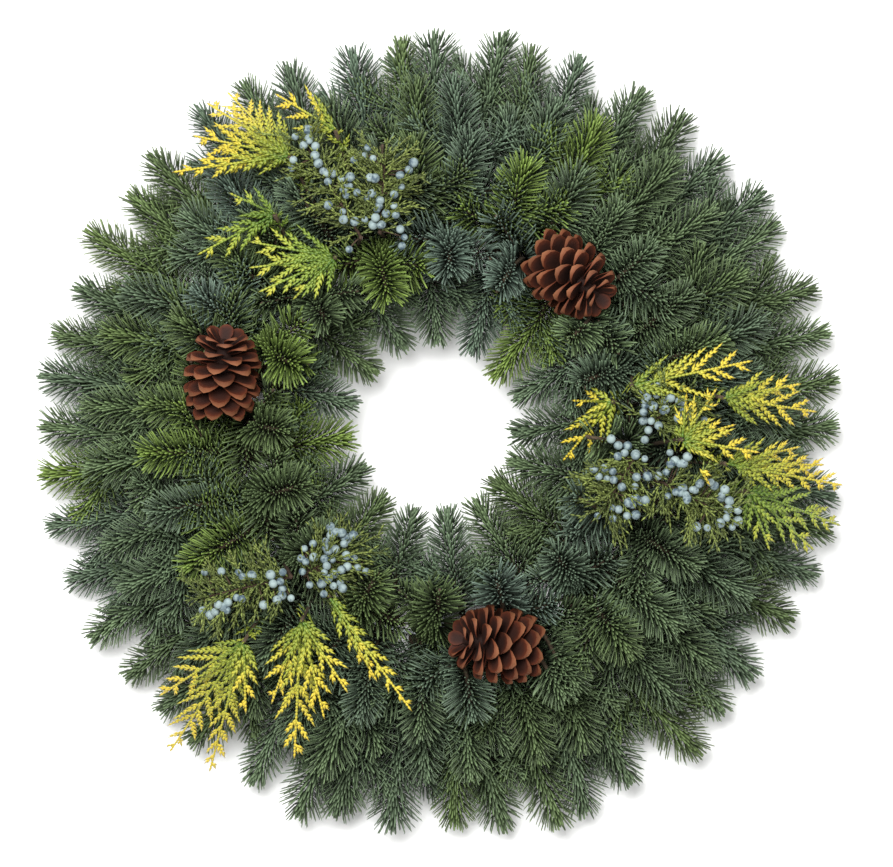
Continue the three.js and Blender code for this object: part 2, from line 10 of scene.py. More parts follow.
import bmesh
import bpy
import numpy as np
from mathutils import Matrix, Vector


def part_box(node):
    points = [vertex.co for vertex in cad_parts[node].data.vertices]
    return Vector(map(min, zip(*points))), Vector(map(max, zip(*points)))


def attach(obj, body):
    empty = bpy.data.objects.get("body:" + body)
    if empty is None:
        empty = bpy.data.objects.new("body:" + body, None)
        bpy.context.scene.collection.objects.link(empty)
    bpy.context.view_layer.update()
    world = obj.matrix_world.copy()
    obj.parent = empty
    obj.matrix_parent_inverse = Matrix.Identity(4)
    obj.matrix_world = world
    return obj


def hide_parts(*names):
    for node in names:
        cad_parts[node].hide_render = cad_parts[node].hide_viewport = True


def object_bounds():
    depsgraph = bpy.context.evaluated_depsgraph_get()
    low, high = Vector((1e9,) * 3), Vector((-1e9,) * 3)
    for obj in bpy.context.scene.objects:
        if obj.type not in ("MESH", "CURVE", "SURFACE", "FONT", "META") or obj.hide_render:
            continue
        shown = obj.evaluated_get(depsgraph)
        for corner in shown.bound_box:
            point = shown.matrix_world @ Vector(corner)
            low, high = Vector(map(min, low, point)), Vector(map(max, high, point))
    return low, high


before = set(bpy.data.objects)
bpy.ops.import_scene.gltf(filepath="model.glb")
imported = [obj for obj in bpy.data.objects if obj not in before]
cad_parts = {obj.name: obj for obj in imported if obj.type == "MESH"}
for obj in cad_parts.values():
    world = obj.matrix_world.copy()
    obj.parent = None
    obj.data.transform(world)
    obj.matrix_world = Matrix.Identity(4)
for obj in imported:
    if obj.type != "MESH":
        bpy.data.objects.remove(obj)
cad_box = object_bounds()
print("frame loaded with", len(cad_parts), "nodes")

# %% [markdown]
# ## Measures
#
# The maker of a wreath thinks from the middle of the ring, in millimetres. Working in Blender's metres from
# the frame's origin would hide those numbers. So everything here is placed the maker's way, and is turned
# into metres only when a mesh is made. The ring's own box gives its middle.

# %% Millimetres round the ring's centre
MM = 0.001
RING_NAME = "wire_ring_frame"
ring_low, ring_high = (np.array(corner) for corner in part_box(RING_NAME))
CENTRE = (ring_low + ring_high) / 2 * (1, 1, 0)
LOW, HIGH = ((np.array(corner) - CENTRE) / MM for corner in cad_box)
UP = np.array((0.0, 0.0, 1.0))
GOLDEN_ANGLE = np.radians(137.508)  # between one leaf or scale and the next
print("ring centre at", np.round(CENTRE / MM, 2), "mm")
print("measured from it, the part reaches from", LOW.round(1), "to", HIGH.round(1), "mm")

# %% [markdown]
# ## Chance and curves
#
# No two leaves are alike, and yet the wreath has to come out the same each time. A random generator would
# change everything after any new draw. A number that is worked out from a leaf's own order doesn't, so that
# is used. Stems are Bezier curves, because three or four points are enough to give a living bend.


# %% Repeatable chance
STRIDES = (12.9898, 78.233)  # uneven steps along a sine, one for each of the two numbers
STRETCH = 43758.5453  # so large that only the sine's last digits are left in the fraction


def noise(a, b):
    """A random number from 0 to 1 for each pair of whole numbers, the same in every run."""
    wave = np.sin(np.asarray(a) * STRIDES[0] + np.asarray(b) * STRIDES[1]) * STRETCH
    return wave - np.floor(wave)


def spread(a, b, amount):
    """A random number from minus the amount to plus the amount."""
    return (2 * noise(a, b) - 1) * amount


print("chance gives", [round(float(noise(1, order)), 3) for order in range(3)])


# %% Directions and curves
def unit(vectors):
    """The same directions, one long."""
    return vectors / np.linalg.norm(vectors, axis=-1, keepdims=True)


def square_to(direction, vectors):
    """The part of each vector that is at right angles to its direction."""
    return vectors - (vectors * direction).sum(1, keepdims=True) * direction


def polar(radius, degrees, z):
    """A point from its place round the ring."""
    angle = np.radians(degrees)
    return np.array((radius * np.cos(angle), radius * np.sin(angle), z))


def between(points, t):
    """The point at t on the Bezier curve of these control points."""
    t = np.asarray(t, float)[..., None]
    rows = list(points)
    while len(rows) > 1:
        rows = [a + (b - a) * t for a, b in zip(rows, rows[1:])]
    return rows[0] + np.zeros(t.shape[:-1] + (3,))


class Bend:
    """A stem's line, as a Bezier curve."""

    def __init__(self, *points):
        self.points = np.array(points, float)
        steps = np.diff(self.at(np.linspace(0, 1, 17)), axis=0)
        self.length = np.linalg.norm(steps, axis=1).sum()

    def at(self, t):
        return between(self.points, t)

    def along(self, t):
        return unit(between(np.diff(self.points, axis=0), t))

    def frame(self, t, up=UP):
        """Along the stem, to its side, and up from it."""
        along = self.along(t)
        side = unit(np.cross(along, up))
        return along, side, np.cross(side, along)


# %% [markdown]
# ## Small shapes
#
# A needle, a scale leaf and a twig are all drawn standing on the origin, one unit tall. A flat card with a
# picture of needles would be lighter still, but it looks thin from the side. So each is a closed shape:
# bmesh starts from a cone or a sphere, and the flat ends of the needle are poked to a point. With no more
# than twenty triangles it still reads as a needle, because smooth shading rounds it.


# %% Needles, buds and scale leaves
CAP_TILT = 0.95  # of a normal's length that points up or down, by which an end face is known
SCALE_WIDEST = 0.4  # of its length


def shape_of(bm):
    """The points and triangles of a finished small shape."""
    bmesh.ops.triangulate(bm, faces=bm.faces[:])
    bmesh.ops.recalc_face_normals(bm, faces=bm.faces[:])
    bm.verts.index_update()
    points = np.array([vertex.co[:] for vertex in bm.verts])
    faces = np.array([[vertex.index for vertex in face.verts] for face in bm.faces])
    bm.free()
    return points, faces


def spindle(sides, first, last):
    """Pointed at both ends, with two rings between them, each given as its place and its radius."""
    bm = bmesh.new()
    depth = last[0] - first[0]
    bmesh.ops.create_cone(bm, cap_ends=True, segments=sides, radius1=first[1], radius2=last[1], depth=depth)
    bmesh.ops.translate(bm, verts=bm.verts, vec=(0, 0, first[0] + depth / 2))
    bm.normal_update()
    caps = [face for face in bm.faces if abs(face.normal.z) > CAP_TILT]
    for end in bmesh.ops.poke(bm, faces=caps)["verts"]:
        end.co.z = 1 if end.co.z > (first[0] + last[0]) / 2 else 0
    return shape_of(bm)


def scale_leaf():
    """A blunt diamond, the scale of a cedar or juniper twig."""
    bm = bmesh.new()
    bmesh.ops.create_uvsphere(bm, u_segments=4, v_segments=2, radius=0.5)
    for vertex in bm.verts:
        vertex.co.z = {-1: 0.0, 0: SCALE_WIDEST, 1: 1.0}[round(vertex.co.z * 2)]
    return shape_of(bm)


NEEDLE = spindle(3, (0.42, 0.5), (0.92, 0.42))
NEEDLE_TIP = int(NEEDLE[0][:, 2].argmax())
BUD = spindle(4, (0.35, 0.5), (0.7, 0.36))
SCALE = scale_leaf()
print("triangles of a needle:", len(NEEDLE[1]), "of a bud:", len(BUD[1]), "of a scale leaf:", len(SCALE[1]))


# %% Twigs and berries as shapes
def rod(sides, steps):
    """A closed round bar of radius 1, divided along its height."""
    bm = bmesh.new()
    bmesh.ops.create_cone(bm, cap_ends=True, segments=sides, radius1=1, radius2=1, depth=1)
    bmesh.ops.translate(bm, verts=bm.verts, vec=(0, 0, 0.5))
    uprights = [edge for edge in bm.edges if abs(edge.verts[0].co.z - edge.verts[1].co.z) > 0.5]
    bmesh.ops.subdivide_edges(bm, edges=uprights, cuts=steps - 1, use_grid_fill=True)
    return shape_of(bm)


def ball(subdivisions):
    """A round berry, one unit across, that stands on the origin."""
    bm = bmesh.new()
    bmesh.ops.create_icosphere(bm, subdivisions=subdivisions, radius=0.5)
    bmesh.ops.translate(bm, verts=bm.verts, vec=(0, 0, 0.5))
    return shape_of(bm)


TWIG = rod(4, 5)
TWIGLET = rod(3, 3)
BERRY = ball(2)
print("triangles of a twig:", len(TWIG[1]), "of a side twig:", len(TWIGLET[1]), "of a berry:", len(BERRY[1]))


# %% Copies of a shape
def place(shape, roots, along, side, length, width, thickness, bend=None):
    """A copy of the shape for each root, with its height along one direction and its width along another."""
    points = shape[0]
    across, depth, height = points[:, 0], points[:, 1], points[:, 2]
    facing = np.cross(along, side)
    sizes = (np.broadcast_to(size, len(roots))[:, None, None] for size in (length, width, thickness))
    length, width, thickness = sizes
    copies = roots[:, None] + along[:, None] * length * height[:, None]
    copies = copies + side[:, None] * width * across[:, None] + facing[:, None] * thickness * depth[:, None]
    if bend is not None:
        copies = copies + bend[:, None] * (height**2)[:, None]
    return copies


def follow(shape, curve, radius_at, up=UP):
    """The rod bent along a stem's line."""
    height = shape[0][:, 2]
    _, side, top = curve.frame(height, up)
    radius = np.broadcast_to(radius_at(height), height.shape)[:, None]
    return (curve.at(height) + side * shape[0][:, :1] * radius + top * shape[0][:, 1:2] * radius)[None]


# %% [markdown]
# ## From leaves to a piece
#
# A sheaf gathers the copies of one cut stem, because an object for each leaf would be far too many objects.
# Besides the points and faces it keeps what a finish wants to know at each point: how far along its leaf it
# is, a chance tone for each leaf, how ripe or fresh it is, and how much wax bloom it has. These become
# attributes of the mesh, which the materials read, so one material serves ten thousand leaves that all
# differ.

# %% Gathering copies
MARKS = ("along", "tone", "ripe", "bloom")
WOOD, LEAVES, BERRIES = 0, 1, 2  # the order of a piece's finishes


class Sheaf:
    def __init__(self):
        self.points, self.faces, self.finish = [], [], []
        self.marks = {name: [] for name in MARKS}
        self.count = 0

    def add(self, copies, faces, finish, **marks):
        """Takes copies by points by three. A mark is one number, or one for each copy or point."""
        number, size = copies.shape[:2]
        starts = self.count + size * np.arange(number)
        self.points.append(copies.reshape(-1, 3))
        self.faces.append((faces[None] + starts[:, None, None]).reshape(-1, 3))
        self.finish.append(np.full(number * len(faces), finish))
        for name in MARKS:
            self.marks[name].append(np.broadcast_to(marks.get(name, 0.0), (number, size)).reshape(-1))
        self.count += number * size


# %% From a sheaf to an object
total_triangles = 0


def make_piece(name, sheaf, finishes, node, crease=None):
    """One object from a sheaf, which rides on the wreath and stands for the CAD node given."""
    global total_triangles
    points = np.concatenate(sheaf.points) * MM + CENTRE
    faces = np.concatenate(sheaf.faces)
    mesh = bpy.data.meshes.new(name)
    mesh.from_pydata(points, [], faces.tolist())
    for mark in MARKS:
        values = np.concatenate(sheaf.marks[mark])
        mesh.attributes.new(mark, "FLOAT", "POINT").data.foreach_set("value", values)
    for finish in finishes:
        mesh.materials.append(finish)
    mesh.polygons.foreach_set("material_index", np.concatenate(sheaf.finish))
    mesh.polygons.foreach_set("use_smooth", np.ones(len(faces), bool))
    if crease is not None:
        mesh.set_sharp_from_angle(angle=crease)
    piece = bpy.data.objects.new(name, mesh)
    bpy.context.scene.collection.objects.link(piece)
    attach(piece, "root")
    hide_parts(node)
    total_triangles += len(faces)


# %% [markdown]
# ## Finishes
#
# Every finish starts from a Principled shader. Pictures of bark and leaves could be wrapped round the
# pieces, but colours that follow the marks and small patterns of a known size stay sharp from near and far.
# One helper adds any node with its settings and its links, and one turns a hex colour into the linear
# numbers that Blender wants.


# %% Colours and nodes
FACTOR, FIRST, SECOND = 0, 6, 7  # the inputs of a Mix node when it mixes colours
OF_COLOURS = {"output": 2, "data_type": "RGBA"}  # its output and its setting then


def colour(hex_code):
    """An sRGB hex colour as linear red, green, blue and an opaque alpha."""
    channels = np.array([int(hex_code[i : i + 2], 16) for i in (1, 3, 5)]) / 255
    linear = np.where(channels <= 0.04045, channels / 12.92, ((channels + 0.055) / 1.055) ** 2.4)
    return (*linear, 1.0)


def add_node(material, kind, inputs, output=0, **settings):
    """A new node with its settings. An input takes a value or another node's output. Returns one output."""
    node = material.node_tree.nodes.new(kind)
    for name, value in settings.items():
        setattr(node, name, value)
    for socket, value in inputs.items():
        if isinstance(value, bpy.types.NodeSocket):
            material.node_tree.links.new(value, node.inputs[socket])
        else:
            node.inputs[socket].default_value = value
    return node.outputs[output]


def new_finish(name, **values):
    """A material with a Principled shader set to these values, and that shader."""
    material = bpy.data.materials.new(name)
    material.use_nodes = True
    shader = material.node_tree.nodes["Principled BSDF"]
    for socket, value in values.items():
        shader.inputs[socket.replace("_", " ")].default_value = value
    return material, shader


def tone_leaves(material, shader, plain, chance, darkest, lightest):
    """Makes each leaf a little darker or lighter by its chance tone, and gives the shader that colour."""
    tones = {"Value": chance, "To Min": darkest, "To Max": lightest}
    shade = add_node(material, "ShaderNodeMapRange", tones)
    toning = {FACTOR: 1.0, FIRST: plain, SECOND: shade}
    toned = add_node(material, "ShaderNodeMix", toning, **OF_COLOURS, blend_type="MULTIPLY")
    material.node_tree.links.new(toned, shader.inputs["Base Color"])


# %% [markdown]
# ### Fir needles
#
# A noble fir needle is a waxy leaf, blue green because a bloom of wax lies on a dark green skin. The wax
# makes it dull rather than glossy, so the roughness is about 0.5, and the IOR is plant wax's 1.45. The
# youngest tips are yellow green and have no bloom yet. Paler lines could be drawn on the underside, but
# they hardly show. The needle's own colours are given at its tip. Towards the root it is painted almost
# black, a painted shade for the shadow deep in a spray between the needles, which gives a spray its depth,
# so the colours run along the needle.


# %% Waxy fir needles
def needle_finish():
    material, shader = new_finish("waxy noble fir needles", Roughness=0.5, IOR=1.45)
    along, tone, ripe, bloom = (
        add_node(material, "ShaderNodeAttribute", {}, "Fac", attribute_name=mark) for mark in MARKS
    )
    outer = add_node(material, "ShaderNodeMapRange", {"Value": along, "From Min": 0.14, "From Max": 0.92})
    from_painted_shade_to_tip = []
    # Each pair: a root colour, which is painted shade, almost black, and the needle's own colour at its tip.
    for root, tip in (("#0d160a", "#5a6c3c"), ("#0d1914", "#677a6b"), ("#22350f", "#7c9443")):
        colours = {FACTOR: outer, FIRST: colour(root), SECOND: colour(tip)}
        from_painted_shade_to_tip.append(add_node(material, "ShaderNodeMix", colours, **OF_COLOURS))
    skin, waxed, young = from_painted_shade_to_tip
    grown_colours = {FACTOR: bloom, FIRST: skin, SECOND: waxed}
    grown = add_node(material, "ShaderNodeMix", grown_colours, **OF_COLOURS)
    leaf_colours = {FACTOR: ripe, FIRST: grown, SECOND: young}
    leaf = add_node(material, "ShaderNodeMix", leaf_colours, **OF_COLOURS)
    tone_leaves(material, shader, leaf, tone, darkest=0.53, lightest=1.28)
    return material


fir_needles = needle_finish()


# %% [markdown]
# ### Bark
#
# Young fir bark is grey brown and matt, with fine wrinkles a millimetre or two apart, so its roughness is
# high. The wrinkles could be cut into the mesh. A bump is enough on a twig as thin as a match.


# %% Bark
BARK_RELIEF = 0.4  # mm


def bark_finish(name, dark, light, wrinkle_mm):
    material, shader = new_finish(name, Roughness=0.85, IOR=1.5)
    spot = add_node(material, "ShaderNodeTexCoord", {}, "Object")
    wrinkles = {"Vector": spot, "Scale": 1 / (wrinkle_mm * MM), "Detail": 4.0}
    grain = add_node(material, "ShaderNodeTexNoise", wrinkles, "Fac")
    amount = add_node(material, "ShaderNodeMapRange", {"Value": grain, "From Min": 0.3, "From Max": 0.7})
    colours = {FACTOR: amount, FIRST: colour(dark), SECOND: colour(light)}
    tint = add_node(material, "ShaderNodeMix", colours, **OF_COLOURS)
    relief = add_node(material, "ShaderNodeBump", {"Height": grain, "Distance": BARK_RELIEF * MM}, "Normal")
    material.node_tree.links.new(tint, shader.inputs["Base Color"])
    material.node_tree.links.new(relief, shader.inputs["Normal"])
    return material


fir_bark = bark_finish("grey brown fir bark", "#2c241a", "#5d4d39", 1.6)
juniper_bark = bark_finish("red brown juniper bark", "#261a12", "#4f3a29", 1.2)


# %% [markdown]
# ### Golden cedar and green cedar
#
# The scale leaves of golden cedar are green where they are shaded at the base of a frond and turn clear
# yellow, then almost orange, towards the sun. They are smooth and a little glossy. A material for each
# stage of ripeness would leave hard steps, so one material runs through three colours as the mark of
# ripeness rises.


# %% Cedar scale leaves
def cedar_finish(name, shaded, middle, sunny):
    material, shader = new_finish(name, Roughness=0.45, IOR=1.45)
    tone, ripe = (
        add_node(material, "ShaderNodeAttribute", {}, "Fac", attribute_name=mark)
        for mark in ("tone", "ripe")
    )
    half_ripe = add_node(material, "ShaderNodeMapRange", {"Value": ripe, "From Min": 0.05, "From Max": 0.55})
    full_ripe = add_node(material, "ShaderNodeMapRange", {"Value": ripe, "From Min": 0.5, "From Max": 1.0})
    lower_colours = {FACTOR: half_ripe, FIRST: colour(shaded), SECOND: colour(middle)}
    lower = add_node(material, "ShaderNodeMix", lower_colours, **OF_COLOURS)
    upper_colours = {FACTOR: full_ripe, FIRST: lower, SECOND: colour(sunny)}
    upper = add_node(material, "ShaderNodeMix", upper_colours, **OF_COLOURS)
    tone_leaves(material, shader, upper, tone, darkest=0.84, lightest=1.04)
    return material


cedar_gold = cedar_finish("golden cedar scale leaves", "#567328", "#a9ab3c", "#d9c13e")
cedar_green = cedar_finish("green cedar scale leaves", "#44611f", "#85993a", "#c4bb40")


# %% [markdown]
# ### Juniper
#
# Juniper's scale leaves are olive green and dull. Its berries are really tiny fleshy cones: a navy skin
# under a powder blue bloom, which is rubbed off in patches and is missing at the small scar at the tip. The
# patches could be painted on each berry. One noise through the whole sprig gives every berry its own for
# nothing.


# %% Juniper leaves and berries
def juniper_finish():
    material, shader = new_finish("olive juniper scale leaves", Roughness=0.6, IOR=1.45)
    tone, ripe = (
        add_node(material, "ShaderNodeAttribute", {}, "Fac", attribute_name=mark)
        for mark in ("tone", "ripe")
    )
    leaf_colours = {FACTOR: ripe, FIRST: colour("#3c4a24"), SECOND: colour("#808d45")}
    leaf = add_node(material, "ShaderNodeMix", leaf_colours, **OF_COLOURS)
    tone_leaves(material, shader, leaf, tone, darkest=0.5, lightest=1.15)
    return material


BLOOM_PATCH = 3.2  # mm across a patch where the bloom is rubbed off


def berry_finish():
    material, shader = new_finish("bloomed juniper berries", Roughness=0.62, IOR=1.4)
    along, tone = (
        add_node(material, "ShaderNodeAttribute", {}, "Fac", attribute_name=mark)
        for mark in ("along", "tone")
    )
    spot = add_node(material, "ShaderNodeTexCoord", {}, "Object")
    rubbed = {"Vector": spot, "Scale": 1 / (BLOOM_PATCH * MM)}
    patches = add_node(material, "ShaderNodeTexNoise", rubbed, "Fac")
    worn = add_node(material, "ShaderNodeMapRange", {"Value": patches, "From Min": 0.42, "From Max": 0.62})
    skin_colours = {FACTOR: worn, FIRST: colour("#829293"), SECOND: colour("#465762")}
    skin = add_node(material, "ShaderNodeMix", skin_colours, **OF_COLOURS)
    powdered = add_node(material, "ShaderNodeMapRange", {"Value": tone, "From Min": 0.3, "To Max": 0.8})
    pale_colours = {FACTOR: powdered, FIRST: skin, SECOND: colour("#99aaa8")}
    pale = add_node(material, "ShaderNodeMix", pale_colours, **OF_COLOURS)
    scar = add_node(material, "ShaderNodeMapRange", {"Value": along, "From Min": 0.95, "From Max": 1.0})
    scar_colours = {FACTOR: scar, FIRST: pale, SECOND: colour("#3c4658")}
    tipped = add_node(material, "ShaderNodeMix", scar_colours, **OF_COLOURS)
    material.node_tree.links.new(tipped, shader.inputs["Base Color"])
    return material


juniper_leaves = juniper_finish()
juniper_berries = berry_finish()


# %% [markdown]
# ### Cone scales
#
# An open pine cone's scales are woody and matt: rust brown towards the edge, and tan along the thick outer
# lip, which the weather bleaches. Towards the root, deep in the cone, and in the middle of each face, under
# the scale above, they are painted almost black, a painted shade. Each scale could be unwrapped and painted.
# The shape already knows its edge, with that painted shade within it, and its lip, so its marks choose the
# colours, and a noise of wood fibres breaks them up.


# %% Woody cone scales
FIBRE_WIDTH = 2.2  # mm, coarser than the real fibres, so that they still show
FIBRE_RELIEF = 0.35  # mm


def cone_finish():
    material, shader = new_finish("woody cone scales", Roughness=0.75, IOR=1.5, Specular_IOR_Level=0.3)
    margin_and_shade, tone, lip_mark = (
        add_node(material, "ShaderNodeAttribute", {}, "Fac", attribute_name=mark)
        for mark in ("along", "tone", "ripe")
    )
    spot = add_node(material, "ShaderNodeTexCoord", {}, "Object")
    grain = {"Vector": spot, "Scale": 1 / (FIBRE_WIDTH * MM), "Detail": 4.0}
    fibres = add_node(material, "ShaderNodeTexNoise", grain, "Fac")
    lip = add_node(material, "ShaderNodeMapRange", {"Value": lip_mark, "From Min": 0.15, "From Max": 0.9})
    worn = add_node(material, "ShaderNodeMapRange", {"Value": fibres, "From Min": 0.4, "To Max": 0.6})
    # 28110a is painted shade, at the root deep in the cone and mid-face; #5c2812 is the wood's rust brown at
    # the edge.
    shade_and_face_colours = {FACTOR: margin_and_shade, FIRST: colour("#28110a"), SECOND: colour("#5c2812")}
    face = add_node(material, "ShaderNodeMix", shade_and_face_colours, **OF_COLOURS)
    mottled_colours = {FACTOR: worn, FIRST: face, SECOND: colour("#2c140b")}
    mottled = add_node(material, "ShaderNodeMix", mottled_colours, **OF_COLOURS)
    lip_colours = {FACTOR: lip, FIRST: mottled, SECOND: colour("#7e4f33")}
    lipped = add_node(material, "ShaderNodeMix", lip_colours, **OF_COLOURS)
    tone_leaves(material, shader, lipped, tone, darkest=0.75, lightest=1.15)
    ridges = {"Height": fibres, "Distance": FIBRE_RELIEF * MM}
    relief = add_node(material, "ShaderNodeBump", ridges, "Normal")
    material.node_tree.links.new(relief, shader.inputs["Normal"])
    return material


cone_wood = cone_finish()


# %% [markdown]
# ### Wire
#
# The ring is hot-dip galvanised steel, a dull zinc grey with a faint spangle a few millimetres across. The
# florist's wire is steel, drawn and brushed bright, which is smoother and lighter. One grey would do for
# both where they are hidden. A soft noise between two greys shows the spangle where they aren't. A metal
# keeps the default IOR.


# %% Zinc and steel
def wire_finish(name, dark, light, roughness, spangle_mm):
    material, shader = new_finish(name, Metallic=1.0, Roughness=roughness)
    spot = add_node(material, "ShaderNodeTexCoord", {}, "Object")
    crystals = {"Vector": spot, "Scale": 1 / (spangle_mm * MM)}
    spangle = add_node(material, "ShaderNodeTexNoise", crystals, "Fac")
    amount = add_node(material, "ShaderNodeMapRange", {"Value": spangle, "From Min": 0.35, "From Max": 0.65})
    colours = {FACTOR: amount, FIRST: colour(dark), SECOND: colour(light)}
    tint = add_node(material, "ShaderNodeMix", colours, **OF_COLOURS)
    material.node_tree.links.new(tint, shader.inputs["Base Color"])
    return material


zinc = wire_finish("hot-dip galvanised steel wire", "#7d8384", "#a9aeae", 0.42, 4.0)
steel = wire_finish("brushed florist wire", "#8d8f8e", "#b5b7b5", 0.3, 2.0)
print("finishes made:", len(bpy.data.materials))

# %% [markdown]
# ## Where every stem goes
#
# The CAD part bends each fir stem clear of everything placed before it. The stems' points could be copied
# here as a long list. The same few rules are repeated instead, which is shorter and shows why a stem lies
# where it does, and each finer spray still grows on exactly the stem that it stands for. A claim is a fat
# line segment: a piece's name, its two ends and its radius.

# %% Dimensions of the part, in millimetres and degrees
CLAMP_COUNT = 16
CLAMP_PITCH = 360 / CLAMP_COUNT
RING_RADIUS = 152
RING_WIRE = 4
CLAMP_WIRE = 2.6
CLAMP_SPREAD = 33  # across the ring, outside to outside
CLAMP_HEIGHT = 15.1
CLAMP_MOUTH = 5  # between the bent tips of its prongs
GAP = 0.3  # between pieces that touch
BRANCH_RADIUS = 5.1
BRANCH_OFFSET = 7  # of each woody branch from the ring's circle
BRANCH_SPAN = 18.4
BRANCH_SIDES = 5
CORE_RADIUS = 3.3  # of a fir spray's core
CORE_PLACES = (0, 0.36, 0.86, 1)  # where the core bends, along its curve
WELD = 0.4  # how far the ring's wire is sunk into the clamps
RING_HEIGHT = CLAMP_WIRE + RING_WIRE / 2 - WELD
BRANCH_HEIGHT = CLAMP_WIRE + GAP + BRANCH_RADIUS * np.cos(np.pi / BRANCH_SIDES)
SEAT_HEIGHT = RING_HEIGHT + RING_WIRE / 2 + 0.1  # of stems that stand on the ring between the branches
SEAT_RADIUS = RING_RADIUS - 0.3
CONE_LENGTH = 76
CONE_RADIUS = 33
WIRE_RADIUS = 0.9
STEM_RADIUS = 1.4
print("ring", 2 * RING_RADIUS, "mm across, with", CLAMP_COUNT, "clamps")
print("the branches lie", round(BRANCH_HEIGHT, 2), "mm up")


# %% Claimed room
class Room:
    """All the claims so far, which a new stem has to stay clear of."""

    def __init__(self):
        self.owners, self.starts, self.ends, self.radii = [], [], [], []

    def claim(self, owner, start, end, radius):
        self.owners.append(owner)
        self.starts.append(start)
        self.ends.append(end)
        self.radii.append(radius)

    def claim_along(self, owner, points, radius):
        for start, end in zip(points, points[1:]):
            self.claim(owner, start, end, radius)

    def is_clear(self, owner, points, radius):
        others = np.array([name != owner for name in self.owners])
        starts, ends = np.array(self.starts)[others], np.array(self.ends)[others]
        lines = ends - starts
        squares = np.maximum((lines**2).sum(1), 1e-12)  # never nothing, where a claim is a ball
        offsets = points[:, None] - starts
        shares = np.clip((offsets * lines).sum(2) / squares, 0, 1)
        gaps = np.linalg.norm(offsets - shares[..., None] * lines, axis=2)
        return bool((gaps > np.array(self.radii)[others] + radius + GAP).all())


room = Room()

# %% The ring's room
CLAMP_CLAIM = 2.2  # radius of the room round a clamp's wire
PRONG_HEIGHT = CLAMP_HEIGHT - 1
QUARTERS = (0, 0.25, 0.5, 0.75, 1)

for k in range(CLAMP_COUNT):
    angle = k * CLAMP_PITCH
    for sign in (-1, 1):
        foot = polar(RING_RADIUS + sign * (CLAMP_SPREAD - CLAMP_WIRE) / 2, angle, 0)
        bend = foot + UP * PRONG_HEIGHT
        tip = polar(RING_RADIUS + sign * CLAMP_MOUTH / 2, angle, PRONG_HEIGHT)
        room.claim_along(RING_NAME, [foot, bend, tip], CLAMP_CLAIM)
    arc = [polar(RING_RADIUS, angle + t * CLAMP_PITCH, RING_HEIGHT) for t in QUARTERS]
    room.claim_along(RING_NAME, arc, RING_WIRE / 2)
print("the ring claims", len(room.owners), "stretches")

# %% [markdown]
# ## Cones, cedar and juniper: their places
#
# A florist tucks these in last, where the eye should rest, so their places are given one by one and not by a
# rule. Each has its place in millimetres from the ring's centre, and a seat: the clamp's number and the
# degrees from it where its stem or wire stands on the ring, between two branches.

# %% Places of the cones
CONES = (
    {"place": "left", "centre": (-163, 48, 103), "axis": (0.06, 0.9, 0.42), "seat": (7, 6)},
    {"place": "right", "centre": (98, 116, 103), "axis": (0.7, -0.52, 0.48), "seat": (2, 6)},
    {"place": "bottom", "centre": (38, -156, 103), "axis": (-0.88, 0.12, 0.45), "seat": (12, 5.6)},
)


CONE_BALLS = ((-14, CONE_RADIUS - 3), (4, CONE_RADIUS - 2), (20, CONE_RADIUS * 0.7))  # that fill a cone
WIRE_STRAIGHT = 22  # of the wire, straight on from the cone's base
WIRE_DROP = 46  # height from which it goes straight down
STEM_PLACES = np.linspace(0, 1, 13)


def seat_point(seat, z):
    return polar(SEAT_RADIUS, seat[0] * CLAMP_PITCH + seat[1], z)


def cone_line(cone):
    """A cone's direction, from base to tip, and its middle."""
    return unit(np.array(cone["axis"])), np.array(cone["centre"], float)


def wire_curve(cone):
    axis, middle = cone_line(cone)
    start = middle - axis * (CONE_LENGTH / 2 + GAP)
    away = middle - axis * (CONE_LENGTH / 2 + WIRE_STRAIGHT)
    return Bend(start, away, seat_point(cone["seat"], WIRE_DROP), seat_point(cone["seat"], SEAT_HEIGHT))


for cone in CONES:
    axis, middle = cone_line(cone)
    for along, radius in CONE_BALLS:
        spot = middle + along * axis
        room.claim(f"pine_cone_{cone['place']}", spot, spot, radius)
    room.claim_along(f"cone_wire_{cone['place']}", wire_curve(cone).at(STEM_PLACES), WIRE_RADIUS)
    print("the", cone["place"], "cone's wire is", round(wire_curve(cone).length), "mm long")

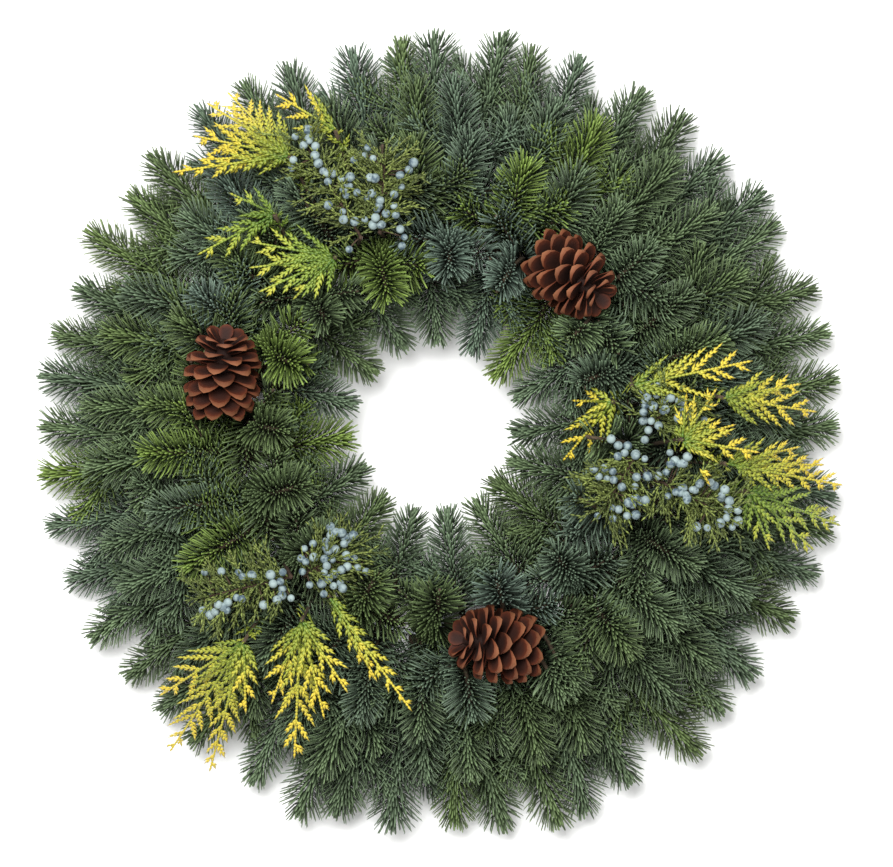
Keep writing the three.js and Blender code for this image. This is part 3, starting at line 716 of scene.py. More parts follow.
# %% Places of the cedar
# Each piece: its hub, its seat, how much higher than usual it lies, and its fronds, each with its tip's
# place and its half width.
CEDARS = {
    "cedar_top_gold": (
        (-113, 207), (5, 7), 0,
        ((-160, 256, 13), (-175, 248, 12), (-184, 223, 12), (-176, 205, 9), (-198, 196, 6)),
    ),
    "cedar_top_tip": ((-79, 226), (5, -2.6), 0, ((-122, 253, 12),)),
    "cedar_top_green": ((-124, 163), (6, -3.4), 0, ((-155, 178, 8), (-178, 135, 10))),
    "cedar_top_fan": (
        (-79, 131), (6, -7.6), 0,
        ((-142, 143, 12), (-139, 124, 12), (-132, 107, 11), (-107, 103, 10)),
    ),
    "cedar_right_long": ((141, 36), (1, -3.2), 0, ((228, 54, 14),)),
    "cedar_right_inner": ((127, 24), (0, 7.4), 0, ((92, -18, 10), (100, 25, 7))),
    "cedar_right_outer": ((209, 27), (1, -7.4), 0, ((278, 17, 12), (265, 37, 9))),
    "cedar_right_star": (
        (178, -4), (0, -3.2), 10,
        ((202, 31, 8), (181, 26, 7), (214, 6, 9), (232, -13, 10), (196, -34, 9)),
    ),
    "cedar_right_fan": ((211, -22), (0, -7.4), 0, ((265, -10, 9), (284, -23, 10), (299, -38, 11))),
    "cedar_right_green": ((228, -42), (15, -3.2), 0, ((298, -68, 11), (277, -85, 11), (243, -83, 10))),
    "cedar_bottom_left": (
        (-147, -154), (10, -3.4), 0,
        ((-210, -195, 12), (-204, -238, 12), (-174, -252, 10), (-146, -204, 9)),
    ),
    "cedar_bottom_middle": (
        (-104, -138), (10, 6.6), 0,
        ((-126, -198, 10), (-110, -240, 12), (-88, -208, 10), (-72, -188, 8)),
    ),
    "cedar_bottom_thin": ((-84, -120), (11, -6.6), 0, ((-50, -180, 5), (-24, -203, 5))),
}
GREEN_CEDARS = ("cedar_top_green", "cedar_top_fan", "cedar_right_green")
print("pieces of cedar:", len(CEDARS), "with", sum(len(piece[3]) for piece in CEDARS.values()), "fronds")

# %% How the cedar lies
CREST_RADIUS, CREST_HEIGHT = 160, 116  # where the wreath's rounded face is highest
OUTER_SIDE, INNER_SIDE = 150, 100  # from the crest to where the face has dropped by CREST_DROP
CREST_DROP = 84
ABOVE_FOLIAGE = 9
LAYER = 1.1  # from each frond of a hub up to the next
TIP_LAYERS = 4  # times as far apart at their tips
FROND_ARCH = 5
HUB_HEIGHT = 6.6
STEM_DIVE = 26  # of a stem, straight down from its hub
STEM_DROP = 60  # height from which it goes straight down to its seat
FROND_PLACES = np.linspace(0, 1, 6)
FROND_CLAIM = 0.8  # of a frond's half width


def on_foliage(place, lift):
    """The point above or below a place on the wreath's rounded face."""
    radius = np.hypot(place[0], place[1])
    if radius > CREST_RADIUS:
        slope = (radius - CREST_RADIUS) / OUTER_SIDE
    else:
        slope = (CREST_RADIUS - radius) / INNER_SIDE
    return np.array((place[0], place[1], CREST_HEIGHT - CREST_DROP * slope**2 + lift))


def frond_curve(hub, lift, fronds, index):
    layer = (index - (len(fronds) - 1) / 2) * LAYER
    height = ABOVE_FOLIAGE + lift
    start = on_foliage(hub, height + layer)
    tip = on_foliage(fronds[index], height + TIP_LAYERS * layer)
    middle = (start + tip) / 2
    middle[2] = max(middle[2], on_foliage(middle, height)[2]) + FROND_ARCH + layer
    return Bend(start, middle, tip)


def stem_curve(hub, seat):
    top, dive = hub + UP * HUB_HEIGHT / 2, hub - UP * STEM_DIVE
    return Bend(top, dive, seat_point(seat, STEM_DROP), seat_point(seat, SEAT_HEIGHT))


for name, (hub, seat, lift, fronds) in CEDARS.items():
    stem = stem_curve(on_foliage(hub, ABOVE_FOLIAGE + lift), seat)
    room.claim_along(name, stem.at(STEM_PLACES), STEM_RADIUS)
    for index, frond in enumerate(fronds):
        line = frond_curve(hub, lift, fronds, index).at(FROND_PLACES)
        room.claim_along(name, line, frond[2] * FROND_CLAIM)

# %% Places of the juniper
# Each sprig: its root, its tip, how much higher than usual it lies, and its seat.
JUNIPERS = {
    "juniper_top_left": ((-60, 146), (-105, 222), 0, (5, 3)),
    "juniper_top_right": ((-46, 150), (-42, 206), 0, (5, -6.8)),
    "juniper_right_outer": ((160, -34), (214, -62), 0, (15, 3.4)),
    "juniper_right_inner": ((144, -16), (120, -56), 0, (15, 7.4)),
    "juniper_right_top": ((157, 8), (174, 26), -12, (0, 3.4)),
    "juniper_bottom_left": ((-112, -106), (-180, -122), 0, (10, -7.6)),
    "juniper_bottom_right": ((-102, -104), (-70, -86), 0, (10, 2.8)),
}


ROOT_LIFT, TIP_LIFT = 2, 7  # above the fir
SPRIG_ARCH = 9
SPRIG_CLAIM = 9  # radius of the room round a sprig
SPRIG_STEM_RADIUS = STEM_RADIUS + 0.4


def sprig_curve(start, end, lift):
    root, tip = on_foliage(start, ROOT_LIFT + lift), on_foliage(end, TIP_LIFT + lift)
    return Bend(root, (root + tip) / 2 + UP * SPRIG_ARCH, tip)


for name, (start, end, lift, seat) in JUNIPERS.items():
    sprig = sprig_curve(start, end, lift)
    room.claim_along(name, stem_curve(sprig.points[0], seat).at(STEM_PLACES), SPRIG_STEM_RADIUS)
    room.claim_along(name, sprig.at(FROND_PLACES), SPRIG_CLAIM)
print("room claimed before the fir:", len(room.owners), "stretches")

# %% [markdown]
# ## Fir stems
#
# Each clamp holds two woody branches. The outer one sends sprays out over the rim, the inner one to the
# front and into the hole. A simulation could settle them against each other. A search is quicker and always
# gives the same wreath: a stem tries small turns, and then lower bends, until it is clear of what came
# before.

# %% Rows of sprays
SPRAYS = {  # the row, and the degrees from the branch's middle to where the spray leaves it and to its tip
    "outer": (
        ("rim", -7.4, -7.5), ("rim", 3.1, 0), ("rim", 7.4, 7.5),
        ("mid", -5, -3.9), ("mid", 5.2, 3.9), ("crown", -3.2, -5.6),
    ),
    "inner": (("crown", 4.4, 5.6), ("lip", -4.6, -1), ("hole", 7.2, 2)),
}
ROWS = {  # the radius and height of the knee and of the tip, and how loosely the tip is placed
    "rim": ((228, 34), (303, 22), 7),
    "mid": ((196, 66), (264, 60), 9),
    "crown": ((166, 90), (222, 96), 9),
    "lip": ((152, 96), (112, 118), 9),
    "hole": ((112, 52), (62, 44), 4),
}
HOLE_SHIFT = 8  # the hole is this much wider towards HOLE_SHIFT_ANGLE
HOLE_SHIFT_ANGLE = 140
TIP_TURN, KNEE_TURN = 2.2, 1.6  # degrees of chance round the ring
KNEE_LOOSE = 5  # chance in the knee's radius and in its height
TIP_HEIGHT_LOOSE = 6
LOWEST_STEM = 14
TURNS = (0, 3, -3, 6, -6, 9, -9, 12, -12)
PRESSES = (0, 8, 16, 24, 32, 40)


def spray_curve(branch, spray, seed, turn, press):
    row, leaves, tip_turn = spray
    knee, tip, loose = ROWS[row]
    tip_angle = branch["middle"] + tip_turn + spread(seed, 1, TIP_TURN) + turn
    knee_angle = branch["middle"] + (leaves + tip_turn) / 2 + spread(seed, 2, KNEE_TURN) + turn / 2
    shift = HOLE_SHIFT * np.cos(np.radians(tip_angle - HOLE_SHIFT_ANGLE)) if row == "hole" else 0
    tip_radius = tip[0] + spread(seed, 3, loose) + shift
    knee_radius = knee[0] + spread(seed, 4, KNEE_LOOSE) + shift / 2
    tip_height = max(tip[1] + spread(seed, 5, TIP_HEIGHT_LOOSE) - press, LOWEST_STEM)
    knee_height = max(knee[1] + spread(seed, 6, KNEE_LOOSE) - press, LOWEST_STEM)
    return Bend(
        polar(branch["radius"], branch["middle"] + leaves, BRANCH_HEIGHT),
        polar(knee_radius, knee_angle, knee_height),
        polar(tip_radius, tip_angle, tip_height),
    )


CORE_STRETCHES = 7  # into which a core is divided when it claims its room


def core_points(curve, count):
    """Points on the CAD core, which is straight between its bends."""
    corners = curve.at(np.array(CORE_PLACES))
    places = np.arange(count + 1) / count
    return np.stack([np.interp(places, CORE_PLACES, corners[:, axis]) for axis in range(3)], axis=1)


def settle(branch, spray, seed):
    """The first curve that has room, or nothing."""
    for press in PRESSES:
        for turn in TURNS:
            curve = spray_curve(branch, spray, seed, turn, press)
            if room.is_clear(branch["name"], core_points(curve, 2 * CORE_STRETCHES), CORE_RADIUS):
                return curve
    return None


# %% Settle every stem
SEEDS_PER_CLAMP = 16  # eight for the outer branch and eight for the inner one
branches = []
for k in range(CLAMP_COUNT):
    for side in ("outer", "inner"):
        radius = RING_RADIUS + (BRANCH_OFFSET if side == "outer" else -BRANCH_OFFSET)
        branch = {"name": f"fir_branch_{side}_{k + 1:02d}", "side": side, "index": k}
        branches.append({**branch, "middle": k * CLAMP_PITCH, "radius": radius, "stems": []})


def branch_arc(branch, t):
    return polar(branch["radius"], branch["middle"] + (t - 0.5) * BRANCH_SPAN, BRANCH_HEIGHT)


for branch in branches:
    room.claim_along(branch["name"], [branch_arc(branch, t) for t in QUARTERS], BRANCH_RADIUS)
for branch in branches:
    for order, spray in enumerate(SPRAYS[branch["side"]]):
        side_seed = 0 if branch["side"] == "outer" else SEEDS_PER_CLAMP // 2
        seed = branch["index"] * SEEDS_PER_CLAMP + side_seed + order
        curve = settle(branch, spray, seed)
        if curve is not None:
            room.claim_along(branch["name"], core_points(curve, CORE_STRETCHES), CORE_RADIUS)
            branch["stems"].append({"curve": curve, "seed": seed, "row": spray[0]})
print("fir stems settled:", sum(len(branch["stems"]) for branch in branches))

# %% [markdown]
# ## Fir sprays
#
# On noble fir the needles stand closely along the top and the sides of the twig and curve towards its tip,
# so a spray looks like a round brush that ends in a dome round its buds. Hair particles would make such a
# brush fast, but their number and lean can't be steered needle by needle. Here they wind round the twig by
# the golden angle. At the sides they leave it almost squarely. On top they lean forward and hide it, and at
# its tip they close in.

# %% Dimensions of a spray
NEEDLE_LENGTH = 20
NEEDLE_WIDTH = 2.1  # wider than a real one, because fewer of them have to hide the twig
NEEDLE_THICKNESS = 1.1
NEEDLES_PER_MM = 2.74
SIDE_NEEDLES_PER_MM = 2.06
HOLE_DENSITY = 1.3  # the sprays round the hole are seen against the floor, and are thicker
NEEDLE_LEAN = 80  # degrees from the twig
TOP_LEAN = 30  # degrees by which the needles on top lean forward more, so that they hide the twig
DOME_LENGTH = 16  # of the twig, over which the needles close in
DOME_LEAN = 62  # degrees by which the last needles lean in
ROUND_TWIG = 0.8  # of the way round the twig has needles, so that its underside is bare
TWIG_RADIUS = 1.9
TWIG_ENDS = 0.94  # of the stem's length, so that the needles and not the twig reach its tip
LOWEST = 0.7  # of any leaf above the surface
BOX_MARGIN = 0.2  # of any leaf from the sides and the top of the CAD part's box
FOLIAGE_STARTS = {"rim": 0.3, "mid": 0.17, "crown": 0.18, "lip": 0.12, "hole": 0.14}  # along the stems
SIDE_TWIGS = {  # where each leaves its stem, to which side, and its length
    "rim": ((0.5, 1, 44), (0.62, -1, 40)),
    "mid": ((0.26, -1, 46), (0.42, 1, 48), (0.56, -1, 44)),
    "crown": ((0.2, 1, 44), (0.32, -1, 46), (0.48, 1, 46)),
    "lip": ((0.2, -1, 44), (0.36, 1, 46), (0.54, -1, 40)),
    "hole": ((0.2, -1, 40), (0.3, 1, 38), (0.44, -1, 36)),
}


def inside(copies):
    """Which copies stay within the CAD part's box and above the surface."""
    low = copies.min(1) > LOW + (BOX_MARGIN, BOX_MARGIN, LOWEST)
    high = copies.max(1) < HIGH - BOX_MARGIN
    return (low & high).all(1)


# %% [markdown]
# The fir is pressed down where cedar, juniper and cones lie on it. Bending each needle would be truer than
# leaving it out, but under a guest nobody sees which it was. Each guest is a row of points with a radius,
# and no fir needle may end within that radius and above that point.

# %% Room for the guests
CEDAR_PRESS, JUNIPER_PRESS, CONE_PRESS = 4, 7, 14  # how far below a guest's line the needles end
CEDAR_ROOM = 0.9  # of a frond's half width
JUNIPER_ROOM = 23
CONE_ROOM = ((-26, 25), (-10, 30), (6, 29), (20, 23), (32, 14))  # places along its axis, each with a radius

guests = []
for hub, _, lift, fronds in CEDARS.values():
    for index, frond_tip in enumerate(fronds):
        for spot in frond_curve(hub, lift, fronds, index).at(np.linspace(0, 1, 9)):
            guests.append((*(spot - UP * CEDAR_PRESS), frond_tip[2] * CEDAR_ROOM))
for start, end, lift, _ in JUNIPERS.values():
    for spot in sprig_curve(start, end, lift).at(np.linspace(0, 1, 7)):
        guests.append((*(spot - UP * JUNIPER_PRESS), JUNIPER_ROOM))
for cone in CONES:
    axis, middle = cone_line(cone)
    for along, radius in CONE_ROOM:
        guests.append((*(middle + along * axis - UP * CONE_PRESS), radius))
guests = np.array(guests)
print("points that keep needles away:", len(guests))


def uncovered(points):
    """Which points are clear of the guests."""
    apart = np.linalg.norm(points[:, None, :2] - guests[:, :2], axis=2)
    return ~((apart < guests[:, 3]) & (points[:, None, 2] > guests[:, 2])).any(1)


# %% How needles stand
CROWDED_ON_TOP = 0.3  # how much closer together they are on top
CROWDED_AT_TIP = 0.8  # a power below one brings them closer together towards the tip
DOME_SHORTER = 0.27  # by which the last needles are shorter
TOP_SHORTER = 0.16  # by which the needles on top are shorter than those at the sides
VIGOUR = 0.14  # by which the needles of a whole spray are longer or shorter
SWEEP_ALONG, SWEEP_UP = 0.36, 0.26  # of its length, how far a needle's tip is bent
NEEDLE_TWIST = 0.3


def needle_turns(order, seed):
    """The angle of each needle round its twig, measured from the top."""
    turn = np.angle(np.exp(1j * (order * GOLDEN_ANGLE + spread(order, seed + 1, 0.15))))
    return ROUND_TWIG * (turn - CROWDED_ON_TOP * np.sin(turn))


def needle_leans(order, seed, turn, closing):
    """The angle between each needle and its twig. Closing is 1 at the tip and 0 before the dome."""
    lean_in = DOME_LEAN * closing**1.5 * (0.4 + 0.6 * noise(order, seed + 8))
    lean_over = TOP_LEAN * np.clip(np.cos(turn), 0, 1) ** 2
    lean = NEEDLE_LEAN - lean_over - lean_in * (1 - lean_over / 90)
    return np.radians(lean + spread(order, seed + 2, 5))[:, None]


def needle_sizes(order, seed, turn, closing):
    share = 1 - TOP_SHORTER + TOP_SHORTER * np.abs(np.sin(turn)) + spread(order, seed + 3, 0.07)
    size = NEEDLE_LENGTH * (1 - DOME_SHORTER * closing) * share
    return size * (1 + spread(seed, 9, VIGOUR))


# %% Needles round a twig
def needles(sheaf, curve, seed, start, ripe, bloom, density):
    covered = curve.length * (TWIG_ENDS - start)
    count = int(covered * density)
    order = np.arange(count)
    where = ((order + 0.5 * noise(order, seed)) / count) ** CROWDED_AT_TIP
    t = start + (TWIG_ENDS - start) * where
    along, side, top = curve.frame(t)
    turn = needle_turns(order, seed)
    outward = np.cos(turn)[:, None] * top + np.sin(turn)[:, None] * side
    closing = np.clip(1 - (1 - where) * covered / DOME_LENGTH, 0, 1)
    lean = needle_leans(order, seed, turn, closing)
    direction = unit(np.cos(lean) * along + np.sin(lean) * outward)
    size = needle_sizes(order, seed, turn, closing)
    sweep = square_to(direction, SWEEP_ALONG * along + SWEEP_UP * top)
    bend = sweep * (size * (0.85 + 0.3 * noise(order, seed + 4)))[:, None]
    twist = NEEDLE_TWIST * spread(order, seed + 5, 1)[:, None]
    across = unit(np.cross(direction, outward) + twist * outward)
    across = unit(square_to(direction, across))
    roots = curve.at(t) + outward * TWIG_RADIUS * 0.5
    width = NEEDLE_WIDTH * (0.9 + 0.2 * noise(order, seed + 6))
    copies = place(NEEDLE, roots, direction, across, size, width, NEEDLE_THICKNESS, bend)
    keep = inside(copies) & uncovered(copies[:, NEEDLE_TIP])
    tone = noise(order, seed + 7)[keep, None]
    fresh = (ripe * (0.35 + 0.65 * where))[keep, None]
    sheaf.add(copies[keep], NEEDLE[1], LEAVES, along=NEEDLE[0][:, 2], tone=tone, ripe=fresh, bloom=bloom)


# %% Twigs and buds
TWIG_TAPER = 0.45  # of a twig's radius, lost by its end
END_BUD, SIDE_BUD = 6.0, 4.4  # lengths
BUD_WIDTH = 0.6  # of its length
BUD_SUNK = 1.5  # into the twig's end


def twig(sheaf, shape, curve, radius):
    """A twig that ends a little before its needles do, and passes through the stem's middle."""
    first, middle, last = (curve.at(TWIG_ENDS * t) for t in (0, 0.5, 1))
    line = Bend(first, 2 * middle - (first + last) / 2, last)
    sheaf.add(follow(shape, line, lambda t: radius * (1 - TWIG_TAPER * t)), shape[1], WOOD)


def buds(sheaf, curve, count):
    """One larger bud at the end of a twig, and smaller ones beside it."""
    order = np.arange(count)
    ends = np.full(count, TWIG_ENDS)
    along, side, top = curve.frame(ends)
    turn = order * GOLDEN_ANGLE
    apart = np.where(order == 0, 0.1, 0.7)[:, None]
    direction = unit(along + apart * (np.cos(turn)[:, None] * side + np.sin(turn)[:, None] * top))
    size = np.where(order == 0, END_BUD, SIDE_BUD)
    roots = curve.at(ends) - along * BUD_SUNK
    width = size * BUD_WIDTH
    copies = place(BUD, roots, direction, unit(np.cross(direction, UP)), size, width, width)
    sheaf.add(copies, BUD[1], WOOD)


def side_twig(curve, t, seed, sign, length):
    """A shorter twig that leaves a stem to one side and curves forward."""
    along, side, top = curve.frame(t)
    outward = unit(side * sign + top * (spread(seed, 21, 0.2) - 0.1))
    start = curve.at(t)
    half = length * 0.5
    middle = start + half * unit(along * 0.5 + outward)
    end = middle + half * unit(along + outward * 0.8 - UP * 0.1)
    return Bend(start, middle, end)


# %% [markdown]
# A wreath is made from the branches of several trees, so its greens differ from spray to spray. Chance
# alone would do that too, but a few strong tips decide how the wreath looks. So the fresh yellow-green tips
# and the bluest sprays are named by their places on its face, and every other spray draws its bloom and
# freshness by chance.

# %% Which sprays are fresh or blue
FRESH_PLACES = (
    (73, 183), (48, 154), (116, 203), (-70, 121), (-255, -29),
    (-198, -1), (-165, -65), (-117, 55), (-97, 8), (51, 80),
)
BLUE_PLACES = ((11, 128), (45, 120), (-174, 109), (-150, 170), (60, -100))


def nearest_spray(place):
    stems = [stem for branch in branches for stem in branch["stems"]]
    spots = np.array([stem["curve"].at(0.8)[:2] for stem in stems])
    return stems[int(np.linalg.norm(spots - place, axis=1).argmin())]["seed"]


fresh_seeds = {nearest_spray(place) for place in FRESH_PLACES}
blue_seeds = {nearest_spray(place) for place in BLUE_PLACES}
print("fresh sprays:", len(fresh_seeds), "and blue ones:", len(blue_seeds))


def spray_looks(seed):
    """How fresh and how waxed a spray is, both from 0 to 1."""
    if seed in fresh_seeds:
        return 0.9, 0.1
    if seed in blue_seeds:
        return 0.0, 1.0
    return 0.35 * noise(seed, 31) ** 2, 0.1 + 0.8 * noise(seed, 32)


# %% Grow the fir
STEM_TWIG, SIDE_TWIG = 1.3, 0.8  # how thick the twigs of a spray are, times TWIG_RADIUS
BRANCH_SLIMMER = 0.92  # the woody branch, beside the CAD part's
STEM_BUDS = 3
SIDE_TWIG_STARTS = 0.1  # of its length, where the needles begin
SEED_STEP = 11  # keeps the chances of a spray apart from those of the next


def fir_spray(sheaf, stem):
    """A twig with its needles and buds, and the side twigs that have room."""
    curve, seed, row = stem["curve"], stem["seed"], stem["row"]
    ripe, bloom = spray_looks(seed)
    thick = HOLE_DENSITY if row == "hole" else 1
    needle_seed = seed * SEED_STEP
    twig(sheaf, TWIG, curve, TWIG_RADIUS * STEM_TWIG)
    needles(sheaf, curve, needle_seed, FOLIAGE_STARTS[row], ripe, bloom, NEEDLES_PER_MM * thick)
    buds(sheaf, curve, STEM_BUDS)
    for j, (t, sign, length) in enumerate(SIDE_TWIGS[row]):
        t = t + spread(seed, 42 + j, 0.05)
        length = length * (0.9 + 0.2 * noise(seed, 40 + j))
        twiglet = side_twig(curve, t, seed * 5 + j, sign, length)
        line = twiglet.at(np.linspace(0, TWIG_ENDS, 5))
        if inside(line[None])[0] and uncovered(line).all():
            density = SIDE_NEEDLES_PER_MM * thick
            twig(sheaf, TWIGLET, twiglet, TWIG_RADIUS * SIDE_TWIG)
            needles(sheaf, twiglet, needle_seed + 5 + j, SIDE_TWIG_STARTS, ripe, bloom, density)
            buds(sheaf, twiglet, 1)


def fir_branch(branch):
    sheaf = Sheaf()
    arc = Bend(*(branch_arc(branch, t) for t in (0, 0.5, 1)))
    sheaf.add(follow(TWIG, arc, lambda t: BRANCH_RADIUS * BRANCH_SLIMMER), TWIG[1], WOOD)
    for stem in branch["stems"]:
        fir_spray(sheaf, stem)
    name = branch["name"]
    make_piece(f"{name}_foliage", sheaf, [fir_bark, fir_needles], name)


for branch in branches:
    fir_branch(branch)
print("fir foliage:", total_triangles, "triangles")

# %% [markdown]
# ## Pine cones
#
# A cone's scales wind up a woody core by the golden angle. Each is a broad plate, thin where it grows from
# the core and thick at its rounded outer lip, with a small point in the middle of the lip's underside. An
# open cone holds them almost squarely to its core, with dark gaps between. A displaced egg would give the
# outline, but not the gaps, so each scale is a plate of its own: a grid, extruded once, that gets its
# outline and its thickness by moving its points.


# %% One cone scale
ROWS_CLOSE = 2.2  # rows of the plate's grid lie closer together towards the lip
LIP_EDGE = 0.99  # of the way out, beyond which a point is on the lip
LIP_POINT = 0.35  # of the scale's thickness, how far the point stands down from the middle of the lip
ROOT_WIDTH = 0.24  # of its greatest width
WIDEST_AT = 0.8  # of the way out
SIDE_LENGTH, MIDDLE_LENGTH = 0.56, 0.36  # the length at the sides, and what the middle adds
ROOT_THICKNESS, LIP_THICKNESS = 0.2, 0.7
CUP = 0.4  # how far its sides are raised
CONE_CREASE = np.radians(50)  # edges sharper than this stay sharp


def cone_scale():
    """A plate one unit long and one wide, whose length runs up the height, its edge mark with the painted
    shade, and its lip.
    """
    bm = bmesh.new()
    bmesh.ops.create_grid(bm, x_segments=6, y_segments=6, size=0.5)
    plate = bmesh.ops.extrude_face_region(bm, geom=bm.faces[:])
    raised = [item for item in plate["geom"] if isinstance(item, bmesh.types.BMVert)]
    bmesh.ops.translate(bm, verts=raised, vec=(0, 0, 1))
    margin_and_shade, lip = [], []
    for vertex in bm.verts:
        across = np.sin(np.pi * vertex.co.x)  # columns closer together at the sides, for a round outline
        out = 1 - max(0.5 - vertex.co.y, 0) ** ROWS_CLOSE
        level = vertex.co.z
        middle = 1 - across**2
        on_lip = out > LIP_EDGE
        width = ROOT_WIDTH + (1 - ROOT_WIDTH) * np.sin(np.pi / 2 * min(out / WIDEST_AT, 1))
        point = LIP_POINT * float(abs(across) < 0.1 and on_lip)
        length = out * (SIDE_LENGTH + MIDDLE_LENGTH * np.sqrt(max(middle, 0)))
        thick = ROOT_THICKNESS + LIP_THICKNESS * out**4 * min(1.7 * middle, 1) + point
        cup = CUP * across**2 * out
        vertex.co = (across * width / 2, (level - 1) * thick + cup, length)
        # 1 at the edge, falling to 0 at the root and low in the middle of the face, where the finish paints
        # shade.
        margin_and_shade.append(out * max(2 * out - 1, abs(across)) ** 3)
        lip.append(float(on_lip) * (1 - 0.6 * level) * (0.3 + 0.7 * middle))
    return shape_of(bm), np.array(margin_and_shade), np.array(lip)


CONE_SCALE, CONE_MARGIN_AND_SHADE, CONE_LIP = cone_scale()
print("a cone scale has", len(CONE_SCALE[1]), "triangles")


# %% Three cones
CONE_CORE = rod(10, 6)
CONE_SCALES = 60
SCALE_THICKNESS = 3.5
BELLY = 0.4  # of the way up, where the cone is widest
BELLY_SPAN = 0.69  # from there to where its outline would close
LOWEST_SCALE = -0.35  # of the cone's length from its middle, where the lowest scale grows
SCALED = 0.66  # of its length, from there to the last one
CORE_BASE, CORE_TIP = 0.46, 0.32  # of the cone's length, from the middle
CORE_PROFILE = ((0, 0.12, 0.7, 1), (4, 8, 7, 2.5))  # heights up the core, and its radius there
ROOT_DEPTH = 4  # radius at which the scales grow from the core


def pine_cone(cone):
    """The lowest scales are bent back, those of the belly stand out, and the last ones lean to the tip."""
    sheaf = Sheaf()
    axis, middle = cone_line(cone)
    order = np.arange(CONE_SCALES)
    up = (order + 0.5) / CONE_SCALES
    reach = CONE_RADIUS * np.sqrt(1 - ((up - BELLY) / BELLY_SPAN) ** 2)
    width = 0.46 * reach + 1.8
    lift = np.radians(-16 + 22 * up + 46 * up**3 + spread(order, 50, 4))[:, None]
    turn = (order * GOLDEN_ANGLE + spread(order, 52, 0.08))[:, None]
    sideways = unit(np.cross(axis, UP))
    outward = np.cos(turn) * sideways + np.sin(turn) * np.cross(sideways, axis)
    direction = np.cos(lift) * outward + np.sin(lift) * axis
    across = np.cross(axis, outward)
    roots = middle + axis * (CONE_LENGTH * (LOWEST_SCALE + SCALED * up))[:, None] + outward * ROOT_DEPTH
    length = (reach - ROOT_DEPTH) * (0.94 + 0.06 * noise(order, 53))
    thickness = SCALE_THICKNESS * reach / CONE_RADIUS
    copies = place(CONE_SCALE, roots, direction, across, length, width, thickness)
    tone = noise(order, 51)[:, None]
    sheaf.add(copies, CONE_SCALE[1], WOOD, along=CONE_MARGIN_AND_SHADE, tone=tone, ripe=CONE_LIP)
    core = Bend(middle - axis * CONE_LENGTH * CORE_BASE, middle, middle + axis * CONE_LENGTH * CORE_TIP)
    bulge = np.interp(CONE_CORE[0][:, 2], *CORE_PROFILE)
    # The core has no edge mark, so it takes the painted shade colour, and its low tone darkens it further as
    # painted shade deep in the cone.
    sheaf.add(follow(CONE_CORE, core, lambda t: bulge), CONE_CORE[1], WOOD, tone=0.2)
    name = f"pine_cone_{cone['place']}"
    make_piece(f"{name}_scales", sheaf, [cone_wood], name, crease=CONE_CREASE)


for cone in CONES:
    pine_cone(cone)
print("cones made; total", total_triangles, "triangles")

# %% [markdown]
# ## Cedar
#
# A cedar frond is flat, like pressed lace: a rib with branchlets left and right in turn, each with short
# lobes left and right in turn, all in one plane. The branchlets are longest near the middle of the frond,
# are never quite alike, and leave dark gaps between their tips. A flat card with holes in its picture is
# the usual short cut, and it shows as one from the side. Here each scale leaf is a small solid, and the
# lace gathers thousands of them as rows of one table, which are turned into points all at once.

# %% Dimensions of the lace
BRANCHLET_STEP = 5.8
BRANCHLET_LEAN = np.radians(31)
LOBE_STEP = 2.4
LOBE_LEAN = np.radians(26)
LOBE_LENGTH = 7.2
LEAF_STEP = 2.8
LEAF_LENGTH = 7.0
LEAF_WIDTH = 2.5
LEAF_TAPER = 0.3  # of a shoot's width, lost by its end
BARE = 0.1  # of a frond, from its hub, without tips of branchlets
ROLL = 0.45  # how far a frond's plane may be turned about its rib


class Lace:
    """Gathers the scale leaves of one piece before they are placed all at once."""

    def __init__(self):
        self.rows = []

    def add(self, roots, along, side, length, width, ripe, tone):
        columns = (roots, along, side, length, width, ripe, tone)
        wide = [np.broadcast_to(column, roots.shape) for column in columns[:3]]
        narrow = [np.broadcast_to(column, len(roots))[:, None] for column in columns[3:]]
        self.rows.append(np.concatenate(wide + narrow, axis=1))

    def shoot(self, root, along, side, length, size, ripe, seed):
        """A row of scale leaves that overlap like roof tiles."""
        places = np.arange(0, max(length - LEAF_STEP / 2, 0.1), LEAF_STEP * size)
        share = places / length
        roots = root + along * places[:, None]
        width = LEAF_WIDTH * size * (1 - LEAF_TAPER * share)
        tone = noise(seed, np.arange(len(places)) + 7)
        self.add(roots, along, side, LEAF_LENGTH * size, width, ripe + 0.15 * share, tone)

    def sew(self, sheaf, thickness):
        """Places every leaf in the sheaf. The thickness is a share of a leaf's width."""
        rows = np.concatenate(self.rows)
        roots, along, side = rows[:, :3], unit(rows[:, 3:6]), rows[:, 6:9]
        length, width, ripe, tone = rows[:, 9:].T
        copies = place(SCALE, roots, along, unit(square_to(along, side)), length, width, width * thickness)
        keep = inside(copies)
        ripe, tone = np.clip(ripe, 0, 1)[keep, None], tone[keep, None]
        sheaf.add(copies[keep], SCALE[1], LEAVES, along=SCALE[0][:, 2], tone=tone, ripe=ripe)


# %% One frond
OUTLINE = (0.2, 0.72)  # where a half wave starts, and how much of it is used, for a frond's outline
FULLNESS = 1.2  # of the branchlets, so that their tips reach the outline


def branchlet(lace, root, direction, across, length, ripe, seed):
    """A shoot with a lobe to each side in turn."""
    lace.shoot(root, direction, across, length, 1.0, ripe, seed)
    order = np.arange(int(length * 0.9 / LOBE_STEP))
    places = LOBE_STEP * (order + 0.6)
    sign = np.where(order % 2, 1, -1)[:, None]
    lobes = np.cos(LOBE_LEAN) * direction + np.sin(LOBE_LEAN) * sign * across
    share = places / length
    size = LOBE_LENGTH * (1.05 - 0.6 * share) * (0.75 + 0.5 * noise(seed, order + 20))
    roots = root + direction * places[:, None]
    sides = np.cross(lobes, np.cross(direction, across))
    lace.add(roots, lobes, sides, size, LEAF_WIDTH, ripe + 0.1 + 0.15 * share, noise(seed, order + 40))


